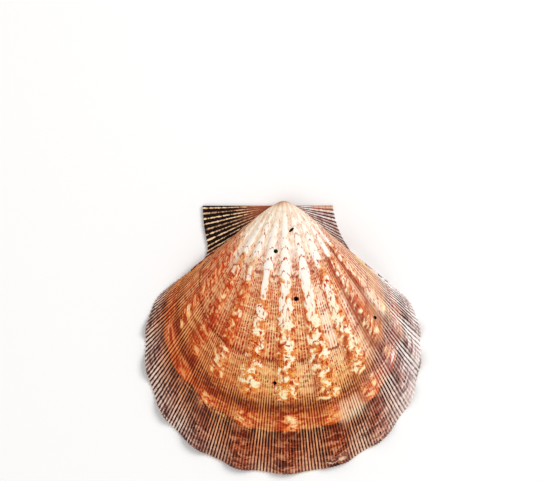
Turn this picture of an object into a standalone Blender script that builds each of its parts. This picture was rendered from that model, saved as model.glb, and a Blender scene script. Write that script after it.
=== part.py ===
"""One empty valve of a flat-ribbed scallop, dome up, resting on its margin and its hinge line.

Metres, +Z up. The hinge line runs along X on the +Y side, the rounded margin lies towards -Y, and the
long anterior ear is on the -X side. Sizes are measured from the umbo, the shell's oldest point, which
lies on the hinge line. The finished valve is then moved so that its box stands centred on the origin.

The outer face is worked out the way the shell grew. The whole outline, ears and disc, is one plane
curve. A younger outline is the same curve scaled by the growth fraction u about the umbo and turned
up about the hinge line by RATE * ln(1 / u), which makes every growth path a logarithmic spiral.
Ribs are a wave across that surface. The inner face is the height that a ball of the wall's
thickness leaves free when it rolls along the outer face.
"""

import math

import bmesh
import bpy
import numpy as np

MM = 0.001

# Outline at full size, seen from above, from the umbo at (0, 0)
DISC_HALF_WIDTH = 42.5 * MM
DISC_ASIDE = 0.6 * MM  # of the disc's middle, towards +X
DISC_CENTRE = 43.4 * MM  # from the hinge line down to the disc's widest level
DISC_REACH = 38.6 * MM  # from the widest level down to the margin
DISC_POWER = 2.12  # of the superellipse: 2 is a plain ellipse
FLANK_ANGLE = math.radians(54.3)  # of the disc's straight shoulders, from the midline
FLANK_START = 29.0 * MM  # distance from the umbo where the shoulder runs clear of the ear
CREASE_ANGLE = math.radians(59.5)  # of the furrow between ear and disc
ANTERIOR_HINGE, ANTERIOR_EDGE, ANTERIOR_BOW = 23.7 * MM, 25.4 * MM, 0.5 * MM
POSTERIOR_HINGE, POSTERIOR_EDGE, POSTERIOR_BOW = 15.7 * MM, 22.7 * MM, -0.7 * MM
MARGIN_FROM = 0.6  # share of DISC_CENTRE where the shoulders give way to the margin's curve
CORNER_ROUNDS = 60  # passes of smoothing that round the shoulders into the margin
CORNER_POINTS = 420
CORNER_PULL = 0.04, 0.5  # of each pass, on the ears and on the disc
CORNER_PULL_RISES = 29.0 * MM, 36.0 * MM  # distances from the umbo between the two
CREASE_SOFTNESS = math.radians(0.6)

# Growth
DISC_RATE = 0.62  # turn about the hinge for each unit of ln(1 / u)
EAR_RATE = 0.20
YOUNGEST = 0.035  # growth fraction of the first ring below the umbo
CHECK_AT = 0.835  # growth fraction where growth once stopped
CHECK_LENGTH = 0.03
CHECK_DROP = 0.35 * MM
UMBO_ASIDE = 0.9 * MM  # of the oldest shell, towards +X

# Ribs: angle in degrees of each crest from the midline, towards +X
RIB_CRESTS = (-56.0, -49.7, -41.8, -31.2, -21.6, -10.4, 1.2, 13.8, 25.7, 36.0, 43.6, 50.0, 56.0)
RIB_BEND = math.radians(1.6)  # of the ribs towards the midline at the margin
RIB_BEND_WITHIN = math.radians(10.0)
RIB_HEIGHT = 1.6 * MM  # crest above furrow at the margin
RIB_SWELLING = 0.8  # power of the growth fraction that the height follows
RIB_FLATNESS = 1.2  # 0 is a cosine, more is squarer
RIB_FADE = math.radians(46.0), math.radians(54.0)
SCALLOP_DEPTH = 0.9 * MM  # of the margin's outline between two ribs
SCALLOP_FROM = 0.8  # growth fraction

# Wall
EDGE_WALL = 0.9 * MM
EAR_WALL = 1.3 * MM
MIDDLE_WALL = 1.8 * MM
WALL_GROWS_OVER = 0.2  # growth fraction over which the edge thickens
INNER_SLOPE = 1.3  # steepest slope of the inner face
PLATE_DEPTH = 2.2 * MM  # of the hinge plate under the umbo
PLATE_LIFT = 0.35 * MM

# Bored holes: (x, y), width, and length along a line turned from +X
BORE_HOLES = (
    ((4.5 * MM, -28.0 * MM), 1.5 * MM, 1.5 * MM, 0.0),
    ((-1.6 * MM, -13.8 * MM), 1.3 * MM, 1.3 * MM, 0.0),
    ((28.3 * MM, -33.8 * MM), 0.9 * MM, 1.2 * MM, math.radians(-60)),
    ((-1.9 * MM, -53.3 * MM), 1.0 * MM, 1.25 * MM, math.radians(90)),
    ((3.1 * MM, -7.4 * MM), 0.8 * MM, 1.9 * MM, math.radians(42)),
)
BORE_SIDES = 12
BORE_LENGTH = 60.0 * MM

# Mesh fineness
OUTLINE_STEPS = 92
GROWTH_STEPS = 23
GROWTH_CROWDING = 1.25  # more than 1 draws the outer face's rings towards the umbo
INNER_RINGS = 14
INNER_CROWDING = 1.25  # more than 1 draws the inner face's rings towards the rim
INNER_CENTRE = np.array((0.0, -40.0)) * MM
INNER_TURN = math.radians(30.0), math.radians(54.0)
INNER_BEND = 0.15, 0.75
ROLLING_STEPS = 300, 150  # samples of the outer face for the rolling ball
SHARP_ANGLE = math.radians(40.0)

SHELL_COLOUR = 0.46, 0.20, 0.10, 1.0
SHELL_ROUGHNESS = 0.42


def clear_scene():
    for obj in list(bpy.data.objects):
        bpy.data.objects.remove(obj, do_unlink=True)


def smooth_step(value, low, high):
    t = np.clip((value - low) / (high - low), 0.0, 1.0)
    return t * t * (3.0 - 2.0 * t)


def polar(angle, radius):
    """A point at this angle from the midline, towards +X, and this distance from the umbo."""
    return np.stack((radius * np.sin(angle), -radius * np.cos(angle)), axis=-1)


def ear_edge(hinge, edge, bow, side, count=60):
    """The free edge of an ear, from its hinge corner to its crease, bowed out by bow."""
    t = np.linspace(0.0, 1.0, count)[:, None]
    corner = np.array((side * hinge, 0.0))
    crease = polar(side * CREASE_ANGLE, edge)
    return corner + (crease - corner) * t + np.array((side * bow, 0.0)) * 4.0 * t * (1.0 - t)


def shoulder(side, edge, count=60):
    """From the crease to the start of the straight shoulder and along it."""
    bend = polar(side * FLANK_ANGLE, FLANK_START)
    end = polar(side * FLANK_ANGLE, DISC_CENTRE)
    first = polar(side * CREASE_ANGLE, edge)
    t = np.linspace(0.0, 1.0, count)[:, None]
    return np.concatenate((first + (bend - first) * t[1::4], bend + (end - bend) * t[1:]))


def disc_margin(count=900):
    """The part of the superellipse that lies between the two shoulders."""
    turn = np.linspace(-math.pi, math.pi, count)
    x = DISC_ASIDE + DISC_HALF_WIDTH * np.sign(np.sin(turn)) * np.abs(np.sin(turn)) ** (2.0 / DISC_POWER)
    y = -DISC_CENTRE - DISC_REACH * np.sign(np.cos(turn)) * np.abs(np.cos(turn)) ** (2.0 / DISC_POWER)
    inside = (np.abs(np.arctan2(x, -y)) < FLANK_ANGLE) & (-y > DISC_CENTRE * MARGIN_FROM)
    return np.stack((x[inside], y[inside]), axis=-1)


def resample(points, count):
    """The same line with count points at even steps along it."""
    lengths = np.linalg.norm(np.diff(points, axis=0), axis=1)
    along = np.concatenate(([0.0], np.cumsum(lengths)))
    wanted = np.linspace(0.0, along[-1], count)
    return np.stack([np.interp(wanted, along, points[:, axis]) for axis in range(2)], axis=-1)


def full_outline(count):
    """The valve's outline from the anterior hinge corner, round the disc, to the posterior one."""
    line = np.concatenate((
        ear_edge(ANTERIOR_HINGE, ANTERIOR_EDGE, ANTERIOR_BOW, -1),
        shoulder(-1, ANTERIOR_EDGE),
        disc_margin(),
        shoulder(1, POSTERIOR_EDGE)[::-1],
        ear_edge(POSTERIOR_HINGE, POSTERIOR_EDGE, POSTERIOR_BOW, 1)[::-1],
    ))
    line = resample(line, CORNER_POINTS)
    on_ears, on_disc = CORNER_PULL
    for _ in range(CORNER_ROUNDS):
        disc = smooth_step(np.hypot(line[1:-1, 0], line[1:-1, 1]), *CORNER_PULL_RISES)[:, None]
        pull = on_ears + (on_disc - on_ears) * disc
        line[1:-1] += pull * (line[:-2] + line[2:] - 2.0 * line[1:-1])
    return resample(line, count)


def disc_share(outline):
    """0 on the ears, 1 on the disc, rising from the crease along the shoulder."""
    angle = np.abs(np.arctan2(outline[:, 0], -outline[:, 1]))
    return smooth_step(-angle, -CREASE_ANGLE, -FLANK_ANGLE - CREASE_SOFTNESS)


def rib_wave(angle, growth):
    """1 on a rib's crest and 0 in a furrow."""
    bent = angle + RIB_BEND * np.tanh(angle / RIB_BEND_WITHIN) * smooth_step(growth, CHECK_AT, 1.0)
    number = np.interp(bent, np.radians(RIB_CRESTS), np.arange(len(RIB_CRESTS)))
    wave = np.cos(2.0 * math.pi * number)
    return 0.5 + 0.5 * np.tanh(RIB_FLATNESS * wave) / math.tanh(RIB_FLATNESS)


def outer_face(outline_count, growth):
    """Points of the outer face as an array [growth, outline, xyz]."""
    outline = full_outline(outline_count)
    angle = np.arctan2(outline[:, 0], -outline[:, 1])
    share = disc_share(outline)
    rate = EAR_RATE + (DISC_RATE - EAR_RATE) * share
    u = growth[:, None]
    turn = rate * np.log(1.0 / u)
    crest = rib_wave(angle, u)
    ribs = crest * (1.0 - smooth_step(np.abs(angle), *RIB_FADE)) * share
    notch = SCALLOP_DEPTH * (1.0 - crest) * share * smooth_step(u, SCALLOP_FROM, 1.0)
    reach = 1.0 - notch / np.hypot(outline[:, 0], outline[:, 1])
    x = u * outline[:, 0] * reach + UMBO_ASIDE * (1.0 - u)
    y = u * outline[:, 1] * reach
    relief = RIB_HEIGHT * ribs * u ** RIB_SWELLING
    after_check = smooth_step(u, CHECK_AT, CHECK_AT + CHECK_LENGTH)
    ledge = CHECK_DROP * share * after_check * (1.0 - u) / (1.0 - CHECK_AT)
    height = edge_wall(share) + relief - ledge - y * np.sin(turn)
    return np.stack((x, y * np.cos(turn), height), axis=-1)


def edge_wall(share):
    return EAR_WALL + (EDGE_WALL - EAR_WALL) * share


def wall_thickness(share, growth):
    middle = smooth_step(1.0 - growth[:, None], 0.0, WALL_GROWS_OVER)
    return edge_wall(share) + (MIDDLE_WALL - edge_wall(share)) * middle * share


def rolled_under(points):
    """The inner face's height over each (x, y).

    It is the lowest that a ball as thick as the wall reaches on its way along the outer face. The
    ball wears a cone below its widest part, which keeps the inner face from being too steep.
    """
    growth = np.linspace(YOUNGEST, 1.0, ROLLING_STEPS[1])
    face = outer_face(ROLLING_STEPS[0], growth).reshape(-1, 3)
    ball = wall_thickness(disc_share(full_outline(ROLLING_STEPS[0])), growth).reshape(-1)
    secant = math.hypot(1.0, INNER_SLOPE)
    heights = []
    for x, y in points:
        away = np.hypot(face[:, 0] - x, face[:, 1] - y)
        inside = away < ball * INNER_SLOPE / secant
        round_part = np.sqrt(np.maximum(ball ** 2 - away ** 2, 0.0))
        cone_part = ball * secant - INNER_SLOPE * away
        heights.append((face[:, 2] - np.where(inside, round_part, cone_part)).min())
    plate = PLATE_LIFT + INNER_SLOPE * np.maximum(0.0, -points[:, 1] - PLATE_DEPTH)
    return np.minimum(np.array(heights), plate)


def inner_ring(rim, depth):
    """The rim drawn in by depth, from 0 to 1 at the inner face's centre.

    From the margin it first goes along the ribs, which means straight towards the umbo, and bends
    towards the centre further in. From the ears and the hinge it goes straight to the centre.
    """
    angle = np.abs(np.arctan2(rim[:, 0], -rim[:, 1]))
    along_ribs = (1.0 - smooth_step(angle, *INNER_TURN)) * (1.0 - smooth_step(depth, *INNER_BEND))
    return (1.0 - depth) * rim + depth * (1.0 - along_ribs)[:, None] * INNER_CENTRE


def valve_mesh():
    """Vertices and faces of the closed valve."""
    growth = YOUNGEST + (1.0 - YOUNGEST) * np.linspace(0.0, 1.0, GROWTH_STEPS) ** GROWTH_CROWDING
    outer = outer_face(OUTLINE_STEPS, growth)
    rows, columns = outer.shape[:2]
    umbo = np.array([[UMBO_ASIDE, 0.0, EAR_WALL]])
    index = np.arange(rows * columns).reshape(rows, columns)
    pole = rows * columns
    faces = []
    for i in range(rows - 1):
        for j in range(columns - 1):
            faces.append((index[i, j], index[i + 1, j], index[i + 1, j + 1], index[i, j + 1]))
    faces += [(pole, index[0, j], index[0, j + 1]) for j in range(columns - 1)]

    rim = list(index[-1, :]) + list(index[-2::-1, -1]) + [pole] + list(index[:-1, 0])
    top = np.concatenate((outer.reshape(-1, 3), umbo))
    wall = edge_wall(disc_share(full_outline(OUTLINE_STEPS)))
    edge = top[rim]
    edge[:, 2] -= np.concatenate((wall, np.full(len(rim) - columns, EAR_WALL)))

    rings = [edge]
    for depth in np.linspace(0.0, 1.0, INNER_RINGS + 1)[1:-1] ** INNER_CROWDING:
        flat = inner_ring(edge[:, :2], depth)
        rings.append(np.column_stack((flat, rolled_under(flat))))
    centre = np.append(INNER_CENTRE, rolled_under(INNER_CENTRE[None, :]))
    first = len(top)
    count = len(rim)
    for number in range(len(rings) - 1):
        for k in range(count):
            after = (k + 1) % count
            a, b = first + number * count, first + (number + 1) * count
            faces.append((a + after, a + k, b + k, b + after))
    last = first + (len(rings) - 1) * count
    middle = first + len(rings) * count
    faces += [(last + (k + 1) % count, last + k, middle) for k in range(count)]
    faces += [(rim[k], first + k, first + (k + 1) % count, rim[(k + 1) % count]) for k in range(count)]
    vertices = np.concatenate([top] + rings + [centre[None, :]])
    return vertices, faces


def shell_material():
    material = bpy.data.materials.new("shell_calcite")
    material.use_nodes = True
    shader = material.node_tree.nodes["Principled BSDF"]
    shader.inputs["Base Color"].default_value = SHELL_COLOUR
    shader.inputs["Roughness"].default_value = SHELL_ROUGHNESS
    shader.inputs["Metallic"].default_value = 0.0
    return material


def bore_cutter(number, place, width, length, turn):
    """An upright cutter, oval and longer than the valve is high, for one bored hole."""
    mesh = bpy.data.meshes.new(f"bore_cutter_{number}")
    shape = bmesh.new()
    bmesh.ops.create_cone(
        shape, cap_ends=True, segments=BORE_SIDES, radius1=width / 2, radius2=width / 2, depth=BORE_LENGTH
    )
    bmesh.ops.scale(shape, vec=(length / width, 1.0, 1.0), verts=shape.verts)
    shape.to_mesh(mesh)
    shape.free()
    cutter = bpy.data.objects.new(f"bore_cutter_{number}", mesh)
    cutter.location = (place[0], place[1], 0.0)
    cutter.rotation_euler.z = turn
    cutter.hide_render = True
    cutter.display_type = "WIRE"
    bpy.context.scene.collection.objects.link(cutter)
    return cutter


def box_foot(vertices):
    """The middle of the underside of the vertices' box."""
    low, high = vertices.min(axis=0), vertices.max(axis=0)
    return np.array(((low[0] + high[0]) / 2.0, (low[1] + high[1]) / 2.0, low[2]))


def build_valve():
    vertices, faces = valve_mesh()
    foot = box_foot(vertices)
    vertices = vertices - foot
    mesh = bpy.data.meshes.new("valve")
    mesh.from_pydata(vertices.tolist(), [], [tuple(int(v) for v in face) for face in faces])
    mesh.materials.append(shell_material())
    mesh.shade_smooth()
    mesh.set_sharp_from_angle(angle=SHARP_ANGLE)
    valve = bpy.data.objects.new("valve", mesh)
    bpy.context.scene.collection.objects.link(valve)
    for number, (place, width, length, turn) in enumerate(BORE_HOLES):
        cut = valve.modifiers.new(f"bored_hole_{number}", "BOOLEAN")
        cut.operation = "DIFFERENCE"
        cut.solver = "EXACT"
        cut.object = bore_cutter(number, place - foot[:2], width, length, turn)
    return valve


clear_scene()
build_valve()
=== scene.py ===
"""The finished look of one empty scallop valve, lying dome up on a pale table.

The valve is one closed surface in metres, +Z up, with the hinge line along X on the +Y side and the
margin towards -Y. Its outer face is grown the way a shell grows, its fine riblets and growth checks
are real relief, and its colours follow the riblets and the growth lines.
"""

import functools
import logging
import math
from dataclasses import dataclass, field
from enum import Enum
from typing import Any

import bmesh
import bpy
import numpy as np
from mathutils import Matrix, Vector


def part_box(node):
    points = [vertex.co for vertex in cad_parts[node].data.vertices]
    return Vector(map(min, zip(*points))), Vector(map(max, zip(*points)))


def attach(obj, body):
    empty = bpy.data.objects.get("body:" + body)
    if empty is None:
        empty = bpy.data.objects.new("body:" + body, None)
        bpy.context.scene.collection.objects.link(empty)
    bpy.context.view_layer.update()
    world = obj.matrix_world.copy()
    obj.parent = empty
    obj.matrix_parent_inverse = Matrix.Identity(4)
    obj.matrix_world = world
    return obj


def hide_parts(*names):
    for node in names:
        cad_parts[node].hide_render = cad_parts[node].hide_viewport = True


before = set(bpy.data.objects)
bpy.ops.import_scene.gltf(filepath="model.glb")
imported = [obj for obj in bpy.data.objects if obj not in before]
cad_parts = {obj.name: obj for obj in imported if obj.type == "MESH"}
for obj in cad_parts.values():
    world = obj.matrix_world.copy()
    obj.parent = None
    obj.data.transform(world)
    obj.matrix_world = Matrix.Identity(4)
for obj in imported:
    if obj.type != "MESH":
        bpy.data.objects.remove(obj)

logging.basicConfig(level=logging.INFO, format="%(name)s: %(message)s")
log = logging.getLogger("scallop")

MM = 0.001
TURN = 2.0 * math.pi
TINY = 1e-12
IMAGE_WIDTH = 540
SMOOTH = {"interpolation_type": "SMOOTHSTEP"}

Array = np.ndarray
Fields = dict[str, Array]
Ramp = tuple[tuple[float, str], ...]
Levels = tuple[tuple[Any, ...], ...]


def smooth_step(value: Any, low: Any, high: Any) -> Array:
    """Rises from 0 at low to 1 at high along the cubic 3t^2 - 2t^3.

    Args:
        value: where to read the curve.
        low: the value at which it starts to rise.
        high: the value at which it is full.

    Returns:
        The curve's height, the same shape as value.
    """
    t = np.clip((np.asarray(value) - low) / (high - low), 0.0, 1.0)
    return t * t * (3.0 - 2.0 * t)


def polar(angle: Any, radius: Any) -> Array:
    """The plan point at this angle from the midline, towards +X, and this distance from the umbo."""
    return np.stack((radius * np.sin(angle), -radius * np.cos(angle)), axis=-1)


def linear_colour(code: str) -> tuple[float, float, float]:
    """Turns an sRGB hex colour into linear light.

    Args:
        code: six hex digits.

    Returns:
        Red, green and blue from 0 to 1, by the standard's curve: c / 12.92 below 0.04045, and
        ((c + 0.055) / 1.055) ** 2.4 above it.
    """
    parts = [int(code[place : place + 2], 16) / 255.0 for place in (0, 2, 4)]
    light = [c / 12.92 if c <= 0.04045 else ((c + 0.055) / 1.055) ** 2.4 for c in parts]
    return light[0], light[1], light[2]


def flat_bell(away: Array, half_width: float) -> Array:
    """A bell with a flat middle: exp(-(|away| / half_width)^4)."""
    return np.exp(-((np.abs(away) / half_width) ** 4))


def between(value: Array, start: float, end: float, rise: float, fall: float) -> Array:
    """1 between start and end, with soft ends.

    Args:
        value: where to read it.
        start: middle of the rise.
        end: middle of the fall.
        rise: half the rise's length.
        fall: half the fall's length.

    Returns:
        The product of a smooth step up and a smooth step down.
    """
    begun = smooth_step(value, start - rise, start + rise)
    return begun * (1.0 - smooth_step(value, end - fall, end + fall))


class Seed(Enum):
    """The sets of random numbers that the relief draws from."""

    UNEVEN = 5
    DRIFT = 11
    SWELL = 12
    LUMPS = 13
    WORN = 21


def value_noise(across: Array, along: Array, seed: Seed, size: int = 256) -> Array:
    """Smooth noise from 0 to 1 that is one random number on each whole step of a plane grid.

    Between grid points the four nearest numbers are blended with the cubic 3t^2 - 2t^3.

    Args:
        across: first coordinate, in grid steps.
        along: second coordinate, in grid steps.
        seed: picks the set of random numbers.
        size: grid steps after which the numbers repeat.

    Returns:
        Noise with the broadcast shape of across and along.
    """
    numbers = np.random.default_rng(seed.value).random((size, size))
    a, b = np.broadcast_arrays(across, along)
    i, j = np.floor(a).astype(int), np.floor(b).astype(int)
    s, t = smooth_step(a - i, 0.0, 1.0), smooth_step(b - j, 0.0, 1.0)
    corners = [numbers[(i + p) % size, (j + q) % size] for p in (0, 1) for q in (0, 1)]
    near = corners[0] * (1.0 - t) + corners[1] * t
    far = corners[2] * (1.0 - t) + corners[3] * t
    return near * (1.0 - s) + far * s


def placed(name: str, data: Any) -> Any:
    """Adds an object with this mesh, light or camera to the scene.

    Args:
        name: the object's name.
        data: what it shows.

    Returns:
        The object.
    """
    thing = bpy.data.objects.new(name, data)
    bpy.context.scene.collection.objects.link(thing)
    return thing


@dataclass(frozen=True)
class Ear:
    """One of the two flat wings beside the umbo, with sizes in metres."""

    side: int
    hinge: float
    edge: float
    bow: float

    def free_edge(self, crease_angle: float, count: int = 60) -> Array:
        """The ear's free edge in plan.

        The straight line from the hinge corner to the crease, pushed sideways by the parabola
        4 t (1 - t) times the bow.

        Args:
            crease_angle: angle of the crease from the midline.
            count: points along the edge.

        Returns:
            Plan points, from the hinge corner to the crease.
        """
        t = np.linspace(0.0, 1.0, count)[:, None]
        corner = np.array((self.side * self.hinge, 0.0))
        crease = polar(self.side * crease_angle, self.edge)
        push = np.array((self.side * self.bow, 0.0))
        return corner + (crease - corner) * t + push * 4.0 * t * (1.0 - t)


@dataclass(frozen=True)
class Outline:
    """The whole valve's outline at full size, seen from above, in metres from the umbo."""

    anterior: Ear = Ear(-1, 23.7 * MM, 25.4 * MM, 0.5 * MM)
    posterior: Ear = Ear(1, 15.7 * MM, 22.7 * MM, -0.7 * MM)
    half_width: float = 42.5 * MM
    aside: float = 0.6 * MM
    centre: float = 43.4 * MM
    reach: float = 38.6 * MM
    power: float = 2.12
    margin_from: float = 0.6
    flank_angle: float = math.radians(54.3)
    flank_start: float = 29.0 * MM
    crease_angle: float = math.radians(59.5)
    crease_softness: float = math.radians(0.6)
    corner_points: int = 420
    corner_rounds: int = 60
    corner_pull: tuple[float, float] = (0.04, 0.5)
    corner_pull_rises: tuple[float, float] = (29.0 * MM, 36.0 * MM)

    def shoulder(self, ear: Ear, count: int = 60) -> Array:
        """From the crease to the start of the straight shoulder, and along the shoulder.

        Two straight lines: the first joins crease to shoulder, and the second runs straight out
        from the umbo at the flank angle.

        Args:
            ear: the ear on this side.
            count: points along the shoulder.

        Returns:
            Plan points, from the crease outwards.
        """
        bend = polar(ear.side * self.flank_angle, self.flank_start)
        end = polar(ear.side * self.flank_angle, self.centre)
        first = polar(ear.side * self.crease_angle, ear.edge)
        t = np.linspace(0.0, 1.0, count)[:, None]
        return np.concatenate((first + (bend - first) * t[1::4], bend + (end - bend) * t[1:]))

    def margin(self, count: int = 900) -> Array:
        """The rounded margin: a superellipse, which is |x/a|^p + |y/b|^p = 1, between the shoulders.

        Args:
            count: points round the whole superellipse.

        Returns:
            Plan points, from the anterior shoulder to the posterior one.
        """
        turn = np.linspace(-math.pi, math.pi, count)
        squareness = 2.0 / self.power
        x = self.aside + self.half_width * np.sign(np.sin(turn)) * np.abs(np.sin(turn)) ** squareness
        y = -self.centre - self.reach * np.sign(np.cos(turn)) * np.abs(np.cos(turn)) ** squareness
        inside = np.abs(np.arctan2(x, -y)) < self.flank_angle
        inside &= -y > self.centre * self.margin_from
        return np.stack((x[inside], y[inside]), axis=-1)

    @staticmethod
    def resampled(line: Array, count: int) -> Array:
        """The same line with points at even steps along it.

        Args:
            line: plan points.
            count: points wanted.

        Returns:
            Plan points.
        """
        lengths = np.linalg.norm(np.diff(line, axis=0), axis=1)
        along = np.concatenate(([0.0], np.cumsum(lengths)))
        wanted = np.linspace(0.0, along[-1], count)
        return np.stack([np.interp(wanted, along, line[:, axis]) for axis in range(2)], axis=-1)

    def whole(self, count: int) -> Array:
        """The outline from the anterior hinge corner, round the margin, to the posterior corner.

        The pieces are joined end to end. Each smoothing pass then moves every point towards the
        middle of its two neighbours, hard on the disc and hardly at all on the ears.

        Args:
            count: points wanted.

        Returns:
            Plan points at even steps.
        """
        line = np.concatenate((
            self.anterior.free_edge(self.crease_angle),
            self.shoulder(self.anterior),
            self.margin(),
            self.shoulder(self.posterior)[::-1],
            self.posterior.free_edge(self.crease_angle)[::-1],
        ))
        line = self.resampled(line, self.corner_points)
        on_ears, on_disc = self.corner_pull
        for _ in range(self.corner_rounds):
            away = np.hypot(line[1:-1, 0], line[1:-1, 1])
            pull = on_ears + (on_disc - on_ears) * smooth_step(away, *self.corner_pull_rises)[:, None]
            line[1:-1] += pull * (line[:-2] + line[2:] - 2.0 * line[1:-1])
        return self.resampled(line, count)

    def disc_share(self, line: Array) -> Array:
        """0 on the ears and 1 on the disc, rising just past the crease."""
        angle = np.abs(np.arctan2(line[:, 0], -line[:, 1]))
        return smooth_step(-angle, -self.crease_angle, -self.flank_angle - self.crease_softness)


@dataclass(frozen=True)
class Ribs:
    """The broad ribs, whose crests lie at these angles in degrees from the midline."""

    crests: tuple[float, ...] = (
        -56.0, -49.7, -41.8, -31.2, -21.6, -10.4, 1.2, 13.8, 25.7, 36.0, 43.6, 50.0, 56.0,
    )
    bend: float = math.radians(1.6)
    bend_within: float = math.radians(10.0)
    bend_from: float = 0.835
    height: float = 1.6 * MM
    swelling: float = 0.8
    flatness: float = 1.2
    fade: tuple[float, float] = (math.radians(46.0), math.radians(54.0))
    scallop_depth: float = 0.6 * MM
    scallop_from: float = 0.8

    def number(self, angle: Array, growth: Array) -> Array:
        """Counts the ribs across the disc: a whole number on each crest, a half in each furrow.

        Args:
            angle: from the midline, in radians.
            growth: growth fraction, which bends the ribs slightly near the margin.

        Returns:
            The rib count with the broadcast shape of both.
        """
        drawn_in = np.tanh(angle / self.bend_within) * smooth_step(growth, self.bend_from, 1.0)
        bent = angle + self.bend * drawn_in
        return np.interp(bent, np.radians(self.crests), np.arange(len(self.crests)))

    def wave(self, number: Array) -> Array:
        """1 on a crest and 0 in a furrow: a cosine squared off by a hyperbolic tangent."""
        wave = np.cos(2.0 * math.pi * number)
        return 0.5 + 0.5 * np.tanh(self.flatness * wave) / math.tanh(self.flatness)


@dataclass(frozen=True)
class Riblets:
    """The fine threads that run along the growth paths, with their spacing along the margin."""

    middle_pitch: float = 1.0 * MM
    flank_pitch: float = 1.35 * MM
    anterior_pitch: float = 1.65 * MM
    posterior_pitch: float = 1.3 * MM
    flank_from: tuple[float, float] = (math.radians(24.0), math.radians(34.0))
    depth: float = 0.24 * MM
    ear_depth: float = 0.28 * MM
    crest_weakness: float = 0.55
    young_share: float = 2.0 / 3.0
    multiplied: tuple[float, float] = (0.585, 0.615)
    young_depth: float = 0.55
    phases: tuple[float, ...] = (0.0, 0.3, 0.5, 0.7)
    section: tuple[float, ...] = (0.0, 0.25, 1.0, 0.25)
    tip_length: float = 0.25 * MM
    tips_from: float = 0.95
    worn_back: float = 0.30 * MM
    worn_stretch: float = 5.0
    uneven: tuple[float, float] = (0.75, 0.5)
    uneven_grain: tuple[float, float] = (7.3, 9.0)
    early: float = 1.15

    def columns(self, outline: Outline, fine: int = 6000) -> tuple[Array, Array]:
        """Places four mesh columns to each riblet: groove, foot, crest, foot.

        The riblet count is the running sum of length over pitch along the outline, and each column
        lies where that count reaches its own value.

        Args:
            outline: the valve's outline.
            fine: points that the count is summed over.

        Returns:
            The columns' plan points, and the riblet count of each.
        """
        line = outline.whole(fine)
        angle = np.arctan2(line[:, 0], -line[:, 1])
        share = outline.disc_share(line)
        disc = self.middle_pitch + (self.flank_pitch - self.middle_pitch) * smooth_step(
            np.abs(angle), *self.flank_from
        )
        ear = np.where(angle < 0.0, self.anterior_pitch, self.posterior_pitch)
        pitch = ear + (disc - ear) * share
        steps = np.linalg.norm(np.diff(line, axis=0), axis=1)
        count = np.concatenate(([0.0], np.cumsum(steps / (0.5 * (pitch[1:] + pitch[:-1])))))
        whole = int(round(count[-1]))
        count *= whole / count[-1]
        wanted = (np.arange(whole)[:, None] + np.array(self.phases)[None, :]).reshape(-1)
        wanted = np.append(wanted, float(whole))
        places = np.stack([np.interp(wanted, count, line[:, axis]) for axis in range(2)], axis=-1)
        return places, wanted

    def raised(self, count: Array) -> Array:
        """Height of the riblets' section, which repeats on each: 0 in the groove, 1 on the crest."""
        return np.interp(count % 1.0, self.phases + (1.0,), self.section + (self.section[0],))

    def groove(self, count: Array, growth: Array, share: Array, crest: Array) -> Array:
        """How far the surface lies below the riblets' crests, in metres.

        The riblets are bolder in the furrows than on the ribs, and noise makes them uneven. On the
        young disc there are only two for each three at the margin, as a cosine.

        Args:
            count: riblet count of each column.
            growth: growth fraction of each row, as a column vector.
            share: 0 on the ears and 1 on the disc.
            crest: 1 on the ribs' crests and 0 in the furrows.

        Returns:
            Depths as [row, column].
        """
        young = 0.5 - 0.5 * np.cos(TURN * count * self.young_share)
        grown = np.maximum(smooth_step(growth, *self.multiplied), 1.0 - share)
        shallow = 1.0 - (1.0 - young) * self.young_depth
        height = shallow + (self.raised(count) - shallow) * grown
        across, along = self.uneven_grain
        noise = value_noise(np.floor(count) * across, growth * along, Seed.UNEVEN)
        uneven = self.uneven[0] + self.uneven[1] * noise
        on_disc = self.depth * (1.0 - self.crest_weakness * crest)
        depth = self.ear_depth + (on_disc - self.ear_depth) * share
        return (1.0 - height) * depth * uneven * np.minimum(1.0, growth * self.early)

    def tips(self, count: Array, growth: Array, share: Array) -> Array:
        """How far the margin falls back between the riblets' tips, in metres.

        It is full in the grooves and nothing on the crests, and grows over the last rings. Slow
        noise along the margin wears some stretches back further.

        Args:
            count: riblet count of each column.
            growth: growth fraction of each row, as a column vector.
            share: 0 on the ears and 1 on the disc.

        Returns:
            Lengths as [row, column].
        """
        worn = value_noise(count / self.worn_stretch, np.zeros(1), Seed.WORN)
        late = smooth_step(growth, self.tips_from, 1.0)
        return share * late * (self.tip_length * (1.0 - self.raised(count)) + self.worn_back * worn)


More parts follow.
